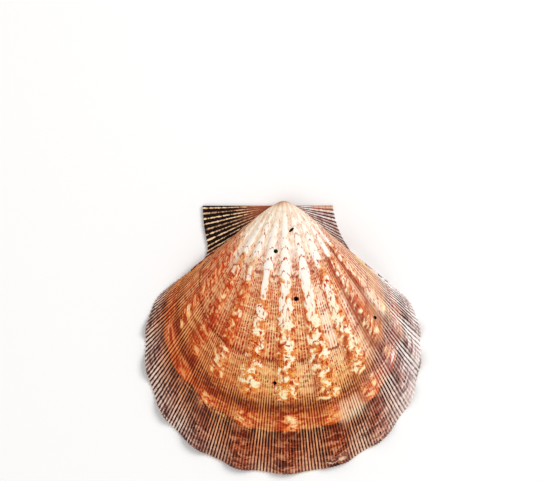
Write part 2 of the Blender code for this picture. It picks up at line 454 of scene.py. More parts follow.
@dataclass(frozen=True)
class Growth:
    """How the outline grew: turned about the hinge as it got smaller towards the umbo."""

    disc_rate: float = 0.62
    ear_rate: float = 0.20
    youngest: float = 0.035
    rows: int = 107
    umbo_aside: float = 0.9 * MM
    halt: float = 0.835
    halt_length: float = 0.03
    halt_drop: float = 0.35 * MM
    checks: tuple[float, ...] = (0.34, 0.47, 0.60, 0.69, 0.775, 0.90, 0.95)
    check_depth: float = 0.12 * MM
    check_width: float = 0.011
    swell: float = 0.07 * MM
    lumps: float = 0.30 * MM
    lumpy: tuple[float, float, float, float] = (0.76, 0.785, 0.825, 0.845)
    drift: float = 0.012
    drift_grain: tuple[float, float] = (14.0, 5.0)
    swell_grain: tuple[float, float] = (30.0, 26.0)
    lump_grain: tuple[float, float] = (3.5, 46.0)
    early: float = 1.5

    def fractions(self) -> Array:
        """The growth fractions of the mesh rows, from the umbo to the margin."""
        return self.youngest + (1.0 - self.youngest) * np.linspace(0.0, 1.0, self.rows)

    def terraces(self, growth: Array, count: Array) -> Array:
        """Depth of the growth checks and the uneven swell between them, in metres.

        Each check is a bell-shaped groove across all riblets at one growth fraction, and the swell
        is smooth noise that varies quickly along the growth and slowly across it. Just before the
        halt the same noise, coarser across, makes low lumps.

        Args:
            growth: growth fraction of each row, as a column vector.
            count: riblet count of each column.

        Returns:
            Depths as [row, column].
        """
        noise = value_noise(count / self.drift_grain[0], growth * self.drift_grain[1], Seed.DRIFT)
        place = growth + self.drift * (noise - 0.5)
        grooves = sum(np.exp(-(((place - check) / self.check_width) ** 2)) for check in self.checks)
        swell = value_noise(count / self.swell_grain[0], place * self.swell_grain[1], Seed.SWELL)
        first, full, last, none = self.lumpy
        lumpy = smooth_step(growth, first, full) * (1.0 - smooth_step(growth, last, none))
        lumps = value_noise(count / self.lump_grain[0], place * self.lump_grain[1], Seed.LUMPS) * lumpy
        return (
            self.check_depth * grooves * np.minimum(1.0, growth * self.early)
            + self.swell * swell * growth + self.lumps * lumps
        )


@dataclass(frozen=True)
class Wall:
    """The wall's thickness, and the inner face that it leaves."""

    edge: float = 0.9 * MM
    ear: float = 1.3 * MM
    middle: float = 1.8 * MM
    grows_over: float = 0.2
    slope: float = 1.3
    plate_depth: float = 2.2 * MM
    plate_lift: float = 0.35 * MM
    rings: int = 46
    crowding: float = 1.25
    centre: tuple[float, float] = (0.0, -40.0 * MM)
    turn: tuple[float, float] = (math.radians(30.0), math.radians(54.0))
    bend: tuple[float, float] = (0.15, 0.75)
    lattice: float = 0.3 * MM
    scar_centre: tuple[float, float] = (9.0 * MM, -34.0 * MM)
    scar_radius: float = 10.5 * MM
    scar_depth: float = 0.12 * MM
    scar_edge: tuple[float, float] = (0.9, 1.05)
    ball_reach: float = 3.4 * MM
    softenings: int = 2

    def at_rim(self, share: Array) -> Array:
        """The rim's thickness: thicker on the ears than on the disc."""
        return self.ear + (self.edge - self.ear) * share

    def thickness(self, share: Array, growth: Array) -> Array:
        """The wall's thickness as [row, column], rising from the rim inwards."""
        inside = smooth_step(1.0 - growth[:, None], 0.0, self.grows_over)
        return self.at_rim(share) + (self.middle - self.at_rim(share)) * inside * share

    def drawn_in(self, rim: Array, depth: float) -> Array:
        """The rim in plan, drawn in by depth from 0 to 1 at the inner face's centre.

        From the margin it first follows the ribs towards the umbo and bends to the centre further
        in; from the ears and the hinge it goes straight to the centre.

        Args:
            rim: plan points of the rim.
            depth: how far in, from 0 at the rim to 1 at the centre.

        Returns:
            Plan points.
        """
        angle = np.abs(np.arctan2(rim[:, 0], -rim[:, 1]))
        along = (1.0 - smooth_step(angle, *self.turn)) * (1.0 - smooth_step(depth, *self.bend))
        return (1.0 - depth) * rim + depth * (1.0 - along)[:, None] * np.array(self.centre)


class InnerHeight:
    """The inner face's height over any plan point.

    It is the lowest that a ball as thick as the wall reaches when it rolls along the outer face.
    The ball wears a cone below its widest part, which limits how steep the inner face gets.
    """

    def __init__(self, face: Array, ball: Array, wall: Wall) -> None:
        """Works the height out on a square lattice.

        Each lattice cell keeps the outer point whose ball hangs lowest. The lattice is then compared
        with itself, shifted by every offset that the ball or its cone can reach.

        Args:
            face: points of the outer face, as [point, xyz].
            ball: the wall's thickness at each point.
            wall: the wall's sizes.
        """
        self.wall = wall
        self.step = wall.lattice
        reach = int(math.ceil(wall.ball_reach / self.step))
        self.low = face[:, :2].min(axis=0) - (reach + 2) * self.step
        size = np.ceil((face[:, :2].max(axis=0) - self.low) / self.step).astype(int) + reach + 3
        cell = np.round((face[:, :2] - self.low) / self.step).astype(int)
        order = np.argsort(face[:, 2] - ball, kind="stable")
        filled, first = np.unique((cell[:, 0] * size[1] + cell[:, 1])[order], return_index=True)
        top, thick = np.full(size[0] * size[1], np.inf), np.zeros(size[0] * size[1])
        top[filled], thick[filled] = face[order[first], 2], ball[order[first]]
        top, thick = top.reshape(size), thick.reshape(size)
        height = np.full(tuple(size), np.inf)
        secant = math.hypot(1.0, wall.slope)
        for i in range(-reach, reach + 1):
            for j in range(-reach, reach + 1):
                away = math.hypot(i, j) * self.step
                moved_top = np.roll(top, (i, j), axis=(0, 1))
                moved = np.roll(thick, (i, j), axis=(0, 1))
                inside = away < moved * wall.slope / secant
                round_part = np.sqrt(np.maximum(moved ** 2 - away ** 2, 0.0))
                cone_part = moved * secant - wall.slope * away
                height = np.minimum(height, moved_top - np.where(inside, round_part, cone_part))
        for _ in range(wall.softenings):
            height = self.softened(height)
        self.height = height

    @staticmethod
    def softened(height: Array) -> Array:
        """Half of each lattice point and an eighth of each neighbour, where all of them are known.

        Args:
            height: the lattice.

        Returns:
            The softened lattice.
        """
        around = sum(np.roll(height, way, axis) for way in (-1, 1) for axis in (0, 1))
        mixed = 0.5 * height + 0.125 * around
        return np.where(np.isfinite(mixed), mixed, height)

    def over(self, points: Array) -> Array:
        """Reads the lattice at plan points by blending its four nearest values.

        Args:
            points: plan points, from the umbo.

        Returns:
            Heights in metres, with the hinge plate and the muscle scar worked in.
        """
        place = (points - self.low) / self.step
        i, j = np.floor(place).astype(int).T
        s, t = (place - np.floor(place)).T
        known = np.where(np.isfinite(self.height), self.height, 0.0)
        near = known[i, j] * (1.0 - t) + known[i, j + 1] * t
        far = known[i + 1, j] * (1.0 - t) + known[i + 1, j + 1] * t
        height = near * (1.0 - s) + far * s
        wall = self.wall
        plate = wall.plate_lift + wall.slope * np.maximum(0.0, -points[:, 1] - wall.plate_depth)
        from_scar = np.hypot(*(points - np.array(wall.scar_centre)).T) / wall.scar_radius
        scar = wall.scar_depth * (1.0 - smooth_step(from_scar, *wall.scar_edge))
        return np.maximum(np.minimum(height, plate) + scar, 0.0)


@dataclass(frozen=True)
class Bore:
    """A hole bored through the wall by an animal: plan place from the umbo, and oval sizes."""

    x: float
    y: float
    width: float
    length: float
    turn: float


@dataclass(frozen=True)
class CreamPatch:
    """A run of cream blotches along one rib, between two growth fractions."""

    rib: float
    start: float
    end: float
    cover: float
    half_width: float = 0.3
    softness: float = 0.018

    def amount(self, rib: Array, growth: Array) -> Array:
        """The cover where a flat bell across the rib and a soft-ended stretch along it meet."""
        along = between(growth, self.start, self.end, self.softness, self.softness)
        return self.cover * flat_bell(rib - self.rib, self.half_width) * along


@dataclass(frozen=True)
class RibBand:
    """A band of one colour that runs along the ribs for a while and hushes the dashes on it."""

    rib: float
    half_width: float
    start: float
    end: float
    strength: float
    colour: str
    hush: float = 0.0
    rise: float = 0.03
    fall: float = 0.02

    def amount(self, rib: Array, growth: Array) -> Array:
        """The strength where a flat bell across the ribs and a soft-ended stretch along them meet."""
        along = between(growth, self.start, self.end, self.rise, self.fall)
        return self.strength * flat_bell(rib - self.rib, self.half_width) * along


@dataclass(frozen=True)
class Wash:
    """A tint over some colour fields: strength times the product of the named areas."""

    fields: str
    colour: str
    strength: float
    areas: str


class Slot(Enum):
    """The material slots of the valve's mesh, by index."""

    OUTSIDE = 0
    LINING = 1
    BORED = 2


@dataclass(frozen=True)
class Pigment:
    """The colours laid down along the margin while the shell grew, the young shell's first, with some
    painted glow, painted shade and painted highlights worked in.

    Each ramp is a list of growth fractions with the colour that the shell had there. Areas are
    fields from 0 to 1. Fades are smooth steps (area, source, where it is 0, where it is 1), and
    blends are (area, base, shares, factors), which is base plus each share times its area, and
    that times the factors. Levels are (growth fraction, base, shares).
    """

    furrow: Ramp = (
        (0.03, "B0703F"), (0.065, "DEBCA4"), (0.1, "F0D8C2"), (0.15, "EED8CA"), (0.24, "E6D2CA"),
        (0.29, "E9D2C2"), (0.34, "F0D5BC"), (0.42, "F6D4AA"), (0.5, "F8D8AE"), (0.575, "F2BC8A"),
        (0.605, "CC7A44"), (0.63, "FAD4A2"), (0.69, "F8CC92"), (0.74, "E8A464"), (0.753, "92401C"),
        (0.766, "C06C38"), (0.785, "DC7C3C"), (0.835, "E28448"),
    )
    crest: Ramp = (
        (0.03, "B0703F"), (0.065, "E8D0BC"), (0.1, "F8EDE0"), (0.28, "F6E2CA"), (0.36, "ECB478"),
        (0.5, "E08C44"), (0.58, "D87C30"), (0.66, "E8922C"), (0.738, "D47C2C"), (0.753, "82300E"),
        (0.766, "C05C28"), (0.78, "D46830"), (0.835, "EC8438"),
    )
    stain: Ramp = (
        (0.03, "7A3E1E"), (0.1, "CC8654"), (0.22, "C46830"), (0.34, "B04818"), (0.45, "B84408"),
        (0.6, "A02C00"), (0.7, "B04400"), (0.75, "4A0B03"), (0.8, "A43008"), (0.835, "9A2808"),
    )
    light: Ramp = (
        (0.03, "E9D8C4"), (0.3, "F6E2CC"), (0.5, "FADCB4"), (0.62, "FAD8A8"), (0.73, "F2C490"),
        (0.765, "D8965E"), (0.82, "F8C890"), (0.86, "ECB088"), (0.92, "EAAE88"), (1.0, "F0CDB2"),
    )
    groove: Ramp = (
        (0.03, "A86A38"), (0.1, "E0BFA8"), (0.3, "D9A988"), (0.36, "D08850"), (0.5, "CC7C38"),
        (0.6, "C4743C"), (0.65, "DC9C5E"), (0.71, "C47A40"), (0.752, "440E04"), (0.8, "A03C14"),
        (0.833, "702408"), (0.845, "260604"), (0.92, "3C1009"), (0.96, "5A241A"), (1.0, "74443A"),
    )
    cream: Ramp = (
        (0.03, "E2C8AE"), (0.1, "F7ECE0"), (0.22, "F7EADC"), (0.32, "FAEEE2"), (0.42, "F9E8D6"),
        (0.5, "FAE6C8"), (0.62, "FDEED2"), (0.72, "FBE4BC"), (0.83, "F9D6A8"), (0.86, "E9CBB0"),
        (1.0, "EBD2BE"),
    )
    fringe: Ramp = (
        (0.03, "E8C8A0"), (0.24, "F0D4B8"), (0.34, "E0A066"), (0.5, "DC8A40"), (0.6, "E08C30"),
        (0.7, "E08E2C"), (0.83, "D86C28"), (0.86, "7A3020"), (1.0, "7A3020"),
    )
    margin: Ramp = (
        (0.8, "4E1610"), (0.86, "561A10"), (0.92, "B05630"), (0.97, "C07C60"), (1.0, "B48C7C"),
    )
    # The narrow dark bands along the sides of ribs 7 to 10, at rib counts 6.78, 7.78, 8.74 and 9.66, are
    # partly the shell's own dark lines and partly painted shade on the ribs' sides.
    bands: tuple[RibBand, ...] = tuple(RibBand(*row) for row in (
        (1.27, 0.1, 0.48, 0.86, 0.7, "5A1C10"), (1.47, 0.14, 0.44, 0.74, 0.6, "EAC4A4", 0.6),
        (2.25, 0.12, 0.44, 0.76, 0.4, "8A2C0C"), (3.0, 0.28, 0.53, 0.6, 0.7, "A02C0C"),
        (3.05, 0.28, 0.63, 0.76, 0.7, "C05008"), (2.6, 0.3, 0.42, 0.56, 0.4, "F2CCA4", 0.4),
        (3.4, 2.1, 0.745, 0.77, 0.5, "7A2A10"), (6.55, 0.26, 0.6, 0.72, 0.7, "F8DEB8", 0.5),
        (6.78, 0.14, 0.36, 0.8, 0.6, "A8480E"), (7.46, 0.22, 0.4, 0.6, 0.75, "FAECDC", 0.7),
        (7.46, 0.26, 0.38, 0.66, 0.65, "FAE8D2", 0.65), (7.46, 0.28, 0.6, 0.75, 0.5, "F6D8A8", 0.5),
        (9.5, 0.26, 0.61, 0.71, 0.45, "7A2A14"), (9.5, 0.3, 0.76, 0.86, 0.55, "7A3020"),
        (9.0, 0.32, 0.765, 0.8, 0.5, "7A3420"), (7.46, 0.34, 0.77, 0.86, 0.92, "FAE2C8", 0.9),
        (7.78, 0.13, 0.36, 0.82, 0.7, "A84C10"), (8.42, 0.2, 0.46, 0.72, 0.65, "FAE8DC", 0.5),
        (8.74, 0.22, 0.33, 0.84, 0.85, "7E2408"), (9.38, 0.16, 0.46, 0.58, 0.5, "F8EADC", 0.6),
        (9.66, 0.18, 0.33, 0.84, 0.9, "742C10"), (10.0, 0.4, 0.56, 0.76, 0.85, "FAEEE0", 0.7),
        (10.7, 0.6, 0.36, 0.8, 0.75, "F2DACA", 0.3), (7.3, 1.3, 0.73, 0.775, 0.75, "DC9864"),
        (8.6, 1.0, 0.775, 0.8, 0.35, "8A3A1C"), (9.75, 0.6, 0.72, 0.83, 0.75, "662C22", 0.3),
        (4.5, 0.25, 0.66, 0.76, 0.5, "C4682C"), (10.2, 0.8, 0.78, 0.88, 0.5, "E2C4AE", 0.4),
        (2.5, 1.2, 0.12, 0.17, 0.3, "C48C68"), (2.5, 0.3, 0.18, 0.4, 0.75, "F2DECE", 0.7),
        (4.0, 0.4, 0.48, 0.6, 0.35, "C4501C"), (2.5, 0.8, 0.87, 1.05, 0.6, "E0B8A8"),
        (4.5, 0.8, 0.95, 1.05, 0.75, "702E1E"), (7.0, 0.28, 0.95, 1.05, 0.75, "5E2418"),
        (7.5, 0.22, 0.9, 1.05, 0.8, "F0D0BC"), (3.0, 0.28, 0.36, 0.42, 0.5, "E8C8A8"),
        (2.0, 0.3, 0.77, 0.88, 0.45, "DCA484"), (2.0, 0.45, 0.88, 1.05, 0.7, "E4C8BC"),
        (5.5, 0.28, 0.885, 0.96, 0.7, "D07C58"), (6.5, 0.28, 0.92, 1.05, 0.6, "DCA082"),
        (3.5, 0.24, 0.44, 0.52, 0.75, "EEC8A4", 0.5), (2.5, 0.25, 0.46, 0.6, 0.7, "EAB890", 0.4),
        (8.5, 0.18, 0.37, 0.41, 0.5, "A8603C"), (5.5, 0.28, 0.73, 0.76, 0.4, "B85A2C"),
        (4.5, 0.25, 0.56, 0.6, 0.4, "C86838"),
    ))
    band_shares: tuple[tuple[str, float], ...] = (("ground", 1.0), ("margin", 1.0), ("light", 0.3))
    halt_shift: tuple[tuple[float, float], ...] = (
        (1.0, -0.03), (2.0, -0.015), (3.0, 0.004), (3.5, 0.024), (4.0, 0.016), (4.5, 0.012), (5.0, 0.0),
        (8.0, -0.006), (9.5, -0.01), (11.0, -0.02),
    )
    patches: tuple[CreamPatch, ...] = tuple(CreamPatch(*row) for row in (
        (2, 0.14, 0.32, 0.4), (2, 0.36, 0.6, 0.14), (2, 0.61, 0.75, 0.2), (3, 0.17, 0.31, 0.85),
        (3, 0.31, 0.56, 0.15), (3, 0.355, 0.4, 0.58), (3, 0.61, 0.72, 0.1), (3, 0.8, 0.835, 0.16),
        (4, 0.12, 0.3, 1.0), (4, 0.33, 0.37, 0.66), (4, 0.37, 0.6, 0.2), (4, 0.61, 0.72, 0.23),
        (4, 0.785, 0.835, 0.16), (5, 0.16, 0.32, 1.0), (5, 0.32, 0.41, 0.8, 0.17),
        (5, 0.42, 0.5, 0.66, 0.25), (5, 0.5, 0.6, 0.32), (5, 0.6, 0.72, 0.34), (5, 0.785, 0.835, 0.18),
        (6, 0.12, 0.35, 1.0), (6, 0.35, 0.395, 0.8), (6, 0.395, 0.5, 0.68), (6, 0.5, 0.6, 0.48),
        (6, 0.6, 0.64, 0.2), (6, 0.64, 0.73, 0.4), (6, 0.785, 0.835, 0.21), (7, 0.14, 0.4, 0.95, 0.25),
        (7, 0.4, 0.52, 0.74, 0.24), (7, 0.52, 0.64, 0.42), (7, 0.64, 0.755, 0.26), (7, 0.79, 0.835, 0.1),
        (7, 0.955, 0.985, 0.3), (8, 0.12, 0.33, 1.0), (7.95, 0.385, 0.46, 0.66, 0.25),
        (7.95, 0.46, 0.6, 0.54), (8, 0.6, 0.73, 0.31), (8, 0.77, 0.83, 0.24), (9, 0.12, 0.335, 0.9),
        (9, 0.365, 0.48, 0.4), (9, 0.48, 0.72, 0.22), (9, 0.76, 0.83, 0.14), (10, 0.12, 0.335, 0.85),
        (10, 0.36, 0.6, 0.26), (10, 0.58, 0.78, 0.14, 0.36),
    ))
    young_cover: float = 0.22
    ninth_rib: tuple[float, float] = (9.0, 0.55)
    infant: float = 0.45
    fades: tuple[tuple[str, str, float, float], ...] = (
        ("first", "growth", 0.11, 0.055), ("grown", "growth", 0.30, 0.38),
        ("early", "growth", 0.44, 0.34),
        ("half_grown", "growth", 0.30, 0.80), ("later", "growth", 0.50, 0.58),
        ("band", "growth", 0.70, 0.76),
        ("shifting", "growth", 0.55, 0.82), ("nearing", "growth", 0.60, 0.86), ("late", "growth", 0.84, 1.0),
        ("last", "growth", 0.80, 1.0), ("young", "growth", 0.70, 0.30), ("worn_from", "growth", 0.45, 0.65),
        ("flank_from", "growth", 0.12, 0.30), ("speckled", "growth", 0.31, 0.24),
        ("past_tip", "growth", 0.06, 0.12),
        ("left", "rib", 5.0, 3.4), ("left_half", "rib", 6.2, 4.6), ("right", "rib", 7.2, 9.4),
        ("far_right", "rib", 8.6, 10.6), ("sideways", "aside", 45.0, 52.0), ("hinge", "angle", 80.0, 86.0),
        ("ear", "share", 0.65, 0.35),
    )
    blends: tuple[tuple[str, float, dict[str, float], str], ...] = (
        ("before_halt", 1.0, {"band": -0.7}, ""), ("before_band", 1.0, {"band": -1.0}, ""),
        ("with_crest", 1.0, {"crest": 0.7}, ""), ("less_crest", 1.0, {"crest": -0.4}, ""),
        ("not_late", 1.0, {"late": -1.0}, ""), ("flank", 1.0, {}, "sideways flank_from"),
        ("off_flank", 1.0, {"flank": -1.0}, ""), ("left_furrow", 1.0, {}, "left furrowed"),
        ("left_later", 1.0, {}, "left later before_band"), ("left_infant", 1.0, {}, "left infant"),
        # The two glow areas, stronger over the last rings, carry painted glow that pales the margin on each
        # side.
        ("bloom_left", 0.22, {"late": 0.45}, "left"), ("bloom_right", 0.25, {"late": 0.60}, "right"),
        ("tip", 0.0, {"left_half": 0.75, "far_right": 1.2}, "first"),
        ("on_disc", 1.0, {"ear": -1.0}, ""), ("on_left", 1.0, {}, "ear anterior"),
        ("on_right", 1.0, {}, "ear posterior"), ("worn", 1.0, {}, "on_right hinge worn_from"),
        ("fewer_dashes", 1.0, {"left": -0.4}, "on_disc"), ("less_worn", 1.0, {"worn": -0.6}, "ear"),
        ("thin_right", 1.0, {"right": -0.3}, "on_disc"),
        ("thin_young", 1.0, {"left_infant": -0.4}, "thin_right"),
        ("checks", 0.15, {"furrowed": 0.85, "band": 0.25, "left_later": 0.75}, "thin_young"),
    )
    under_bands: tuple[Wash, ...] = (
        Wash("ground", "CC5C20", 0.50, "with_crest left grown before_halt"),
        Wash("ground", "F4DCC0", 0.80, "left furrowed early"),
        Wash("ground", "CC5C20", 0.18, "ninth grown before_halt less_crest"),
        Wash("ground", "CC5C20", 0.35, "band left_half furrowed"),
    )
    over_bands: tuple[Wash, ...] = (
        Wash("ground", "D08C68", 0.75, "flank anterior"),
        # Painted glow: the pale grey-pink DACAC4 and E0D2D0 washes on the right, here and below, pale the
        # right side and flatten its contrast as if washed out by light.
        Wash("ground", "DACAC4", 0.95, "flank posterior"),
        Wash("margin", "CC5C20", 0.35, "crest"),
        # Painted glow: the margin is paled towards grey-pink on the left and towards pale grey-pink on the
        # right.
        Wash("margin", "C4ACA4", 1.0, "bloom_left"),
        Wash("margin", "E0D2D0", 1.0, "bloom_right"),
        Wash("ground cream", "A06A38", 0.75, "tip"),
        # Painted glow: pales the right side's stain.
        Wash("stain", "E0D2D0", 0.45, "half_grown right"),
        Wash("groove", "420C04", 1.0, "maroon_left anterior"),
        Wash("groove", "420C04", 0.20, "maroon_right posterior"),
        # Painted glow: pales the right side's grooves over the last rings.
        Wash("groove", "E0D2D0", 0.55, "late right"),
        Wash("light", "FBF4EE", 1.0, "nearing right"),
        Wash("light", "E89C68", 0.50, "left grown not_late"),
        Wash("cream", "E89C68", 0.35, "left grown not_late"),
        Wash("light", "FBF4EE", 0.55, "late left"),
        # Painted glow: pales the amber fringe on the right side.
        Wash("fringe", "DACAC4", 0.50, "right grown"),
        Wash("ground margin stain groove fringe", "280A06", 1.0, "on_left"),
        Wash("ground margin stain groove fringe", "AC6E50", 0.8, "on_left young"),
        Wash("ground margin stain groove fringe", "7A2E20", 1.0, "on_right"),
        Wash("light", "FFD8B2", 1.0, "on_left"),
        Wash("light", "FFFAF4", 1.0, "on_right"),
        Wash("ground margin", "C08462", 1.0, "worn"),
    )
    maroon_shares: tuple[float, float] = (0.75, 0.45)
    spots: Levels = (
        (0.0, 0.0), (0.10, 0.26), (0.27, 0.40), (0.36, 0.85), (0.62, 0.85), (0.74, 0.0),
    )
    curls: Levels = ((0.0, 0.0), (0.50, 0.2), (0.60, 1.0), (0.76, 0.8), (0.838, 0.5))
    arcs: Levels = ((0.0, 0.0), (0.11, 0.6), (0.345, 0.4), (0.60, 0.0))
    dashes: Levels = (
        (0.0, 0.06), (0.13, 0.12, {"furrowed": 0.08}), (0.27, 0.40, {"furrowed": 0.20}),
        (0.30, 0.46, {"furrowed": 0.26}), (0.345, 0.58, {"furrowed": 0.30}), (0.605, 0.60), (0.73, 0.66),
        (0.775, 0.40), (0.838, 0.20, {"right": -0.12}),
    )
    # At growth 0.775, in the orange band just before the halt, the streaks are full. The pale ones there are
    # partly the shell's own cream and partly painted highlights on its lumps.
    streaks: Levels = (
        (0.0, 0.0), (0.10, 0.30), (0.30, 0.35), (0.36, 0.40, {"left": 0.60}), (0.60, 0.40, {"left": 0.60}),
        (0.73, 0.65), (0.775, 1.0), (0.838, 0.35), (0.88, 0.80),
    )
    threads: Levels = (
        (0.0, 0.0), (0.36, 0.12, {"furrowed": 0.22}), (0.58, 0.20, {"furrowed": 0.30, "left_furrow": 0.30}),
        (0.72, 0.40, {"furrowed": 0.50}), (0.80, 0.10, {"furrowed": 0.60}),
        (0.84, 0.40, {"left": 0.35, "furrowed": 0.60, "left_furrow": -0.35}),
    )
    breadth: Levels = (
        (0.0, 0.0), (0.72, 0.0, {"furrowed": 0.10}), (0.84, 0.0, {"furrowed": 0.15, "crest": -0.45}),
    )
    thread_softness: float = 0.03
    flank_threads: tuple[float, float] = (0.85, 0.95)
    right_breadth: float = 0.3
    ear_breadth: tuple[float, float] = (-0.38, 0.47)
    ear_threads: tuple[float, float] = (0.10, 0.90)
    ear_spread: tuple[float, float, float] = (0.15, 0.60, 0.45)

    @staticmethod
    def ramp(growth: Array, stops: Ramp) -> Array:
        """Blends a ramp's colours in linear light.

        Args:
            growth: growth fractions.
            stops: growth fractions with their colours.

        Returns:
            Colours with growth's shape and one more axis.
        """
        places = [place for place, _ in stops]
        colours = np.array([linear_colour(code) for _, code in stops])
        return np.stack([np.interp(growth, places, colours[:, band]) for band in range(3)], axis=-1)

    @staticmethod
    def tinted(colour: Array, code: str, amount: Array) -> Array:
        """The colours moved towards one colour by amount."""
        return colour + (np.array(linear_colour(code)) - colour) * amount[..., None]

    @staticmethod
    def mixed(areas: Fields, base: float, shares: dict[str, float]) -> Array:
        """The base plus each share times its area."""
        return base + sum(share * areas[name] for name, share in shares.items())

    def areas(self, angle: Array, rib: Array, crest: Array, growth: Array, share: Array) -> Fields:
        """Works out the areas that the pigment and the painted glow keep to.

        Args:
            angle: from the midline, in degrees.
            rib: rib count.
            crest: 1 on crests and 0 in furrows.
            growth: growth fraction.
            share: 0 on the ears and 1 on the disc.

        Returns:
            Fields from 0 to 1, by name.
        """
        sources = {"growth": growth, "rib": rib, "angle": angle, "aside": np.abs(angle), "share": share}
        areas = {name: smooth_step(sources[source], none, full) for name, source, none, full in self.fades}
        ninth, half_width = self.ninth_rib
        areas |= {
            "crest": crest, "furrowed": 1.0 - crest, "anterior": angle < 0.0, "posterior": angle > 0.0,
            "infant": growth < self.infant, "ninth": flat_bell(rib - ninth, half_width),
        }
        for name, base, shares, factors in self.blends:
            areas[name] = self.product(areas, factors) * self.mixed(areas, base, shares)
        flank, left = self.maroon_shares
        areas["maroon_left"] = np.maximum(flank * areas["flank"], left * areas["left"] * areas["grown"])
        areas["maroon_right"] = np.maximum(areas["flank"], areas["ninth"] * areas["grown"])
        return areas

    @staticmethod
    def product(areas: Fields, names: str) -> Array:
        """The product of the named areas, or 1 for none."""
        return functools.reduce(np.multiply, [areas[name] for name in names.split()], np.ones(1))

    def washed(self, shades: Fields, areas: Fields, washes: tuple[Wash, ...]) -> None:
        """Lays the washes over the colour fields, in order.

        Args:
            shades: colour fields by name, which are replaced.
            areas: the areas by name.
            washes: the tints.
        """
        for wash in washes:
            amount = wash.strength * self.product(areas, wash.areas)
            for name in wash.fields.split():
                shades[name] = self.tinted(shades[name], wash.colour, amount)

    def cover(self, rib: Array, growth: Array, areas: Fields) -> Array:
        """How much of the surface the cream blotches cover, from 0 to 1.

        The largest patch counts, and the young shell is lightly blotched all over.

        Args:
            rib: rib count.
            growth: growth fraction.
            areas: the areas by name.

        Returns:
            The cover.
        """
        everywhere = self.young_cover * areas["speckled"] * areas["past_tip"]
        runs = [patch.amount(rib, growth) for patch in self.patches]
        return functools.reduce(np.maximum, runs, everywhere)

    def stepped(self, growth: Array, areas: Fields, levels: Levels, softness: float = 0.012) -> Array:
        """A value that changes at each growth fraction of the list and stays level in between.

        Args:
            growth: growth fraction.
            areas: the areas by name.
            levels: growth fraction, base and perhaps shares of areas.
            softness: half of each change's length, in growth.

        Returns:
            The value, with growth's shape.
        """
        value = np.full(growth.shape, levels[0][1])
        for place, base, *shares in levels[1:]:
            level = self.mixed(areas, base, *shares) if shares else base
            value = value + (level - value) * smooth_step(growth, place - softness, place + softness)
        return value

    def laid_down(self, angle: Array, rib: Array, crest: Array, growth: Array, share: Array) -> Fields:
        """Works out every field of the outer face that the pigment needs.

        Args:
            angle: from the midline, in degrees.
            rib: rib count.
            crest: 1 on crests and 0 in furrows.
            growth: growth fraction.
            share: 0 on the ears and 1 on the disc.

        Returns:
            The colour fields and the plain fields, by name.
        """
        angle, growth, share = np.broadcast_arrays(angle, growth, share)
        areas = self.areas(angle, rib, crest, growth, share)
        names = ("stain", "cream", "light", "margin", "groove", "fringe")
        shades = {name: self.ramp(growth, getattr(self, name)) for name in names}
        furrow = self.ramp(growth, self.furrow)
        shades["ground"] = furrow + (self.ramp(growth, self.crest) - furrow) * crest[..., None]
        self.washed(shades, areas, self.under_bands)
        hush = np.zeros(growth.shape)
        for ribbon in self.bands:
            amount = ribbon.amount(rib, growth)
            for name, part in self.band_shares:
                shades[name] = self.tinted(shades[name], ribbon.colour, part * amount)
            hush = np.maximum(hush, amount * ribbon.hush)
        self.washed(shades, areas, self.over_bands)

        on_disc = areas["on_disc"]
        level = functools.partial(self.stepped, growth, areas)
        left_threads, right_threads = self.flank_threads
        threads = level(self.threads, self.thread_softness)
        on_flank = np.where(angle < 0.0, left_threads, right_threads)
        threads = threads + (on_flank - threads) * areas["flank"]
        breadth = level(self.breadth, self.thread_softness)
        breadth = breadth + self.right_breadth * areas["right"] * areas["last"]
        start, full_left, full_right = self.ear_spread
        spread = smooth_step(growth, start, np.where(angle < 0.0, full_left, full_right))
        least, rest = self.ear_threads
        left, right = self.ear_breadth
        places, shifts = zip(*self.halt_shift)
        shift = np.interp(rib, places, shifts) * areas["shifting"]
        return shades | {
            "cover": self.cover(rib, growth, areas) * areas["off_flank"] * on_disc,
            "dashes": level(self.dashes) * (1.0 - hush) * areas["fewer_dashes"],
            "threads": threads * on_disc + areas["less_worn"] * (least + rest * spread),
            "breadth": breadth * on_disc + left * areas["on_left"] + right * areas["on_right"],
            "arcs": level(self.arcs) * on_disc,
            "spots": level(self.spots) * on_disc,
            "curls": level(self.curls) * on_disc,
            "halted": (growth + shift) * on_disc,
            "streaks": level(self.streaks) * (1.0 - hush) * on_disc,
            "checks": areas["checks"],
        }


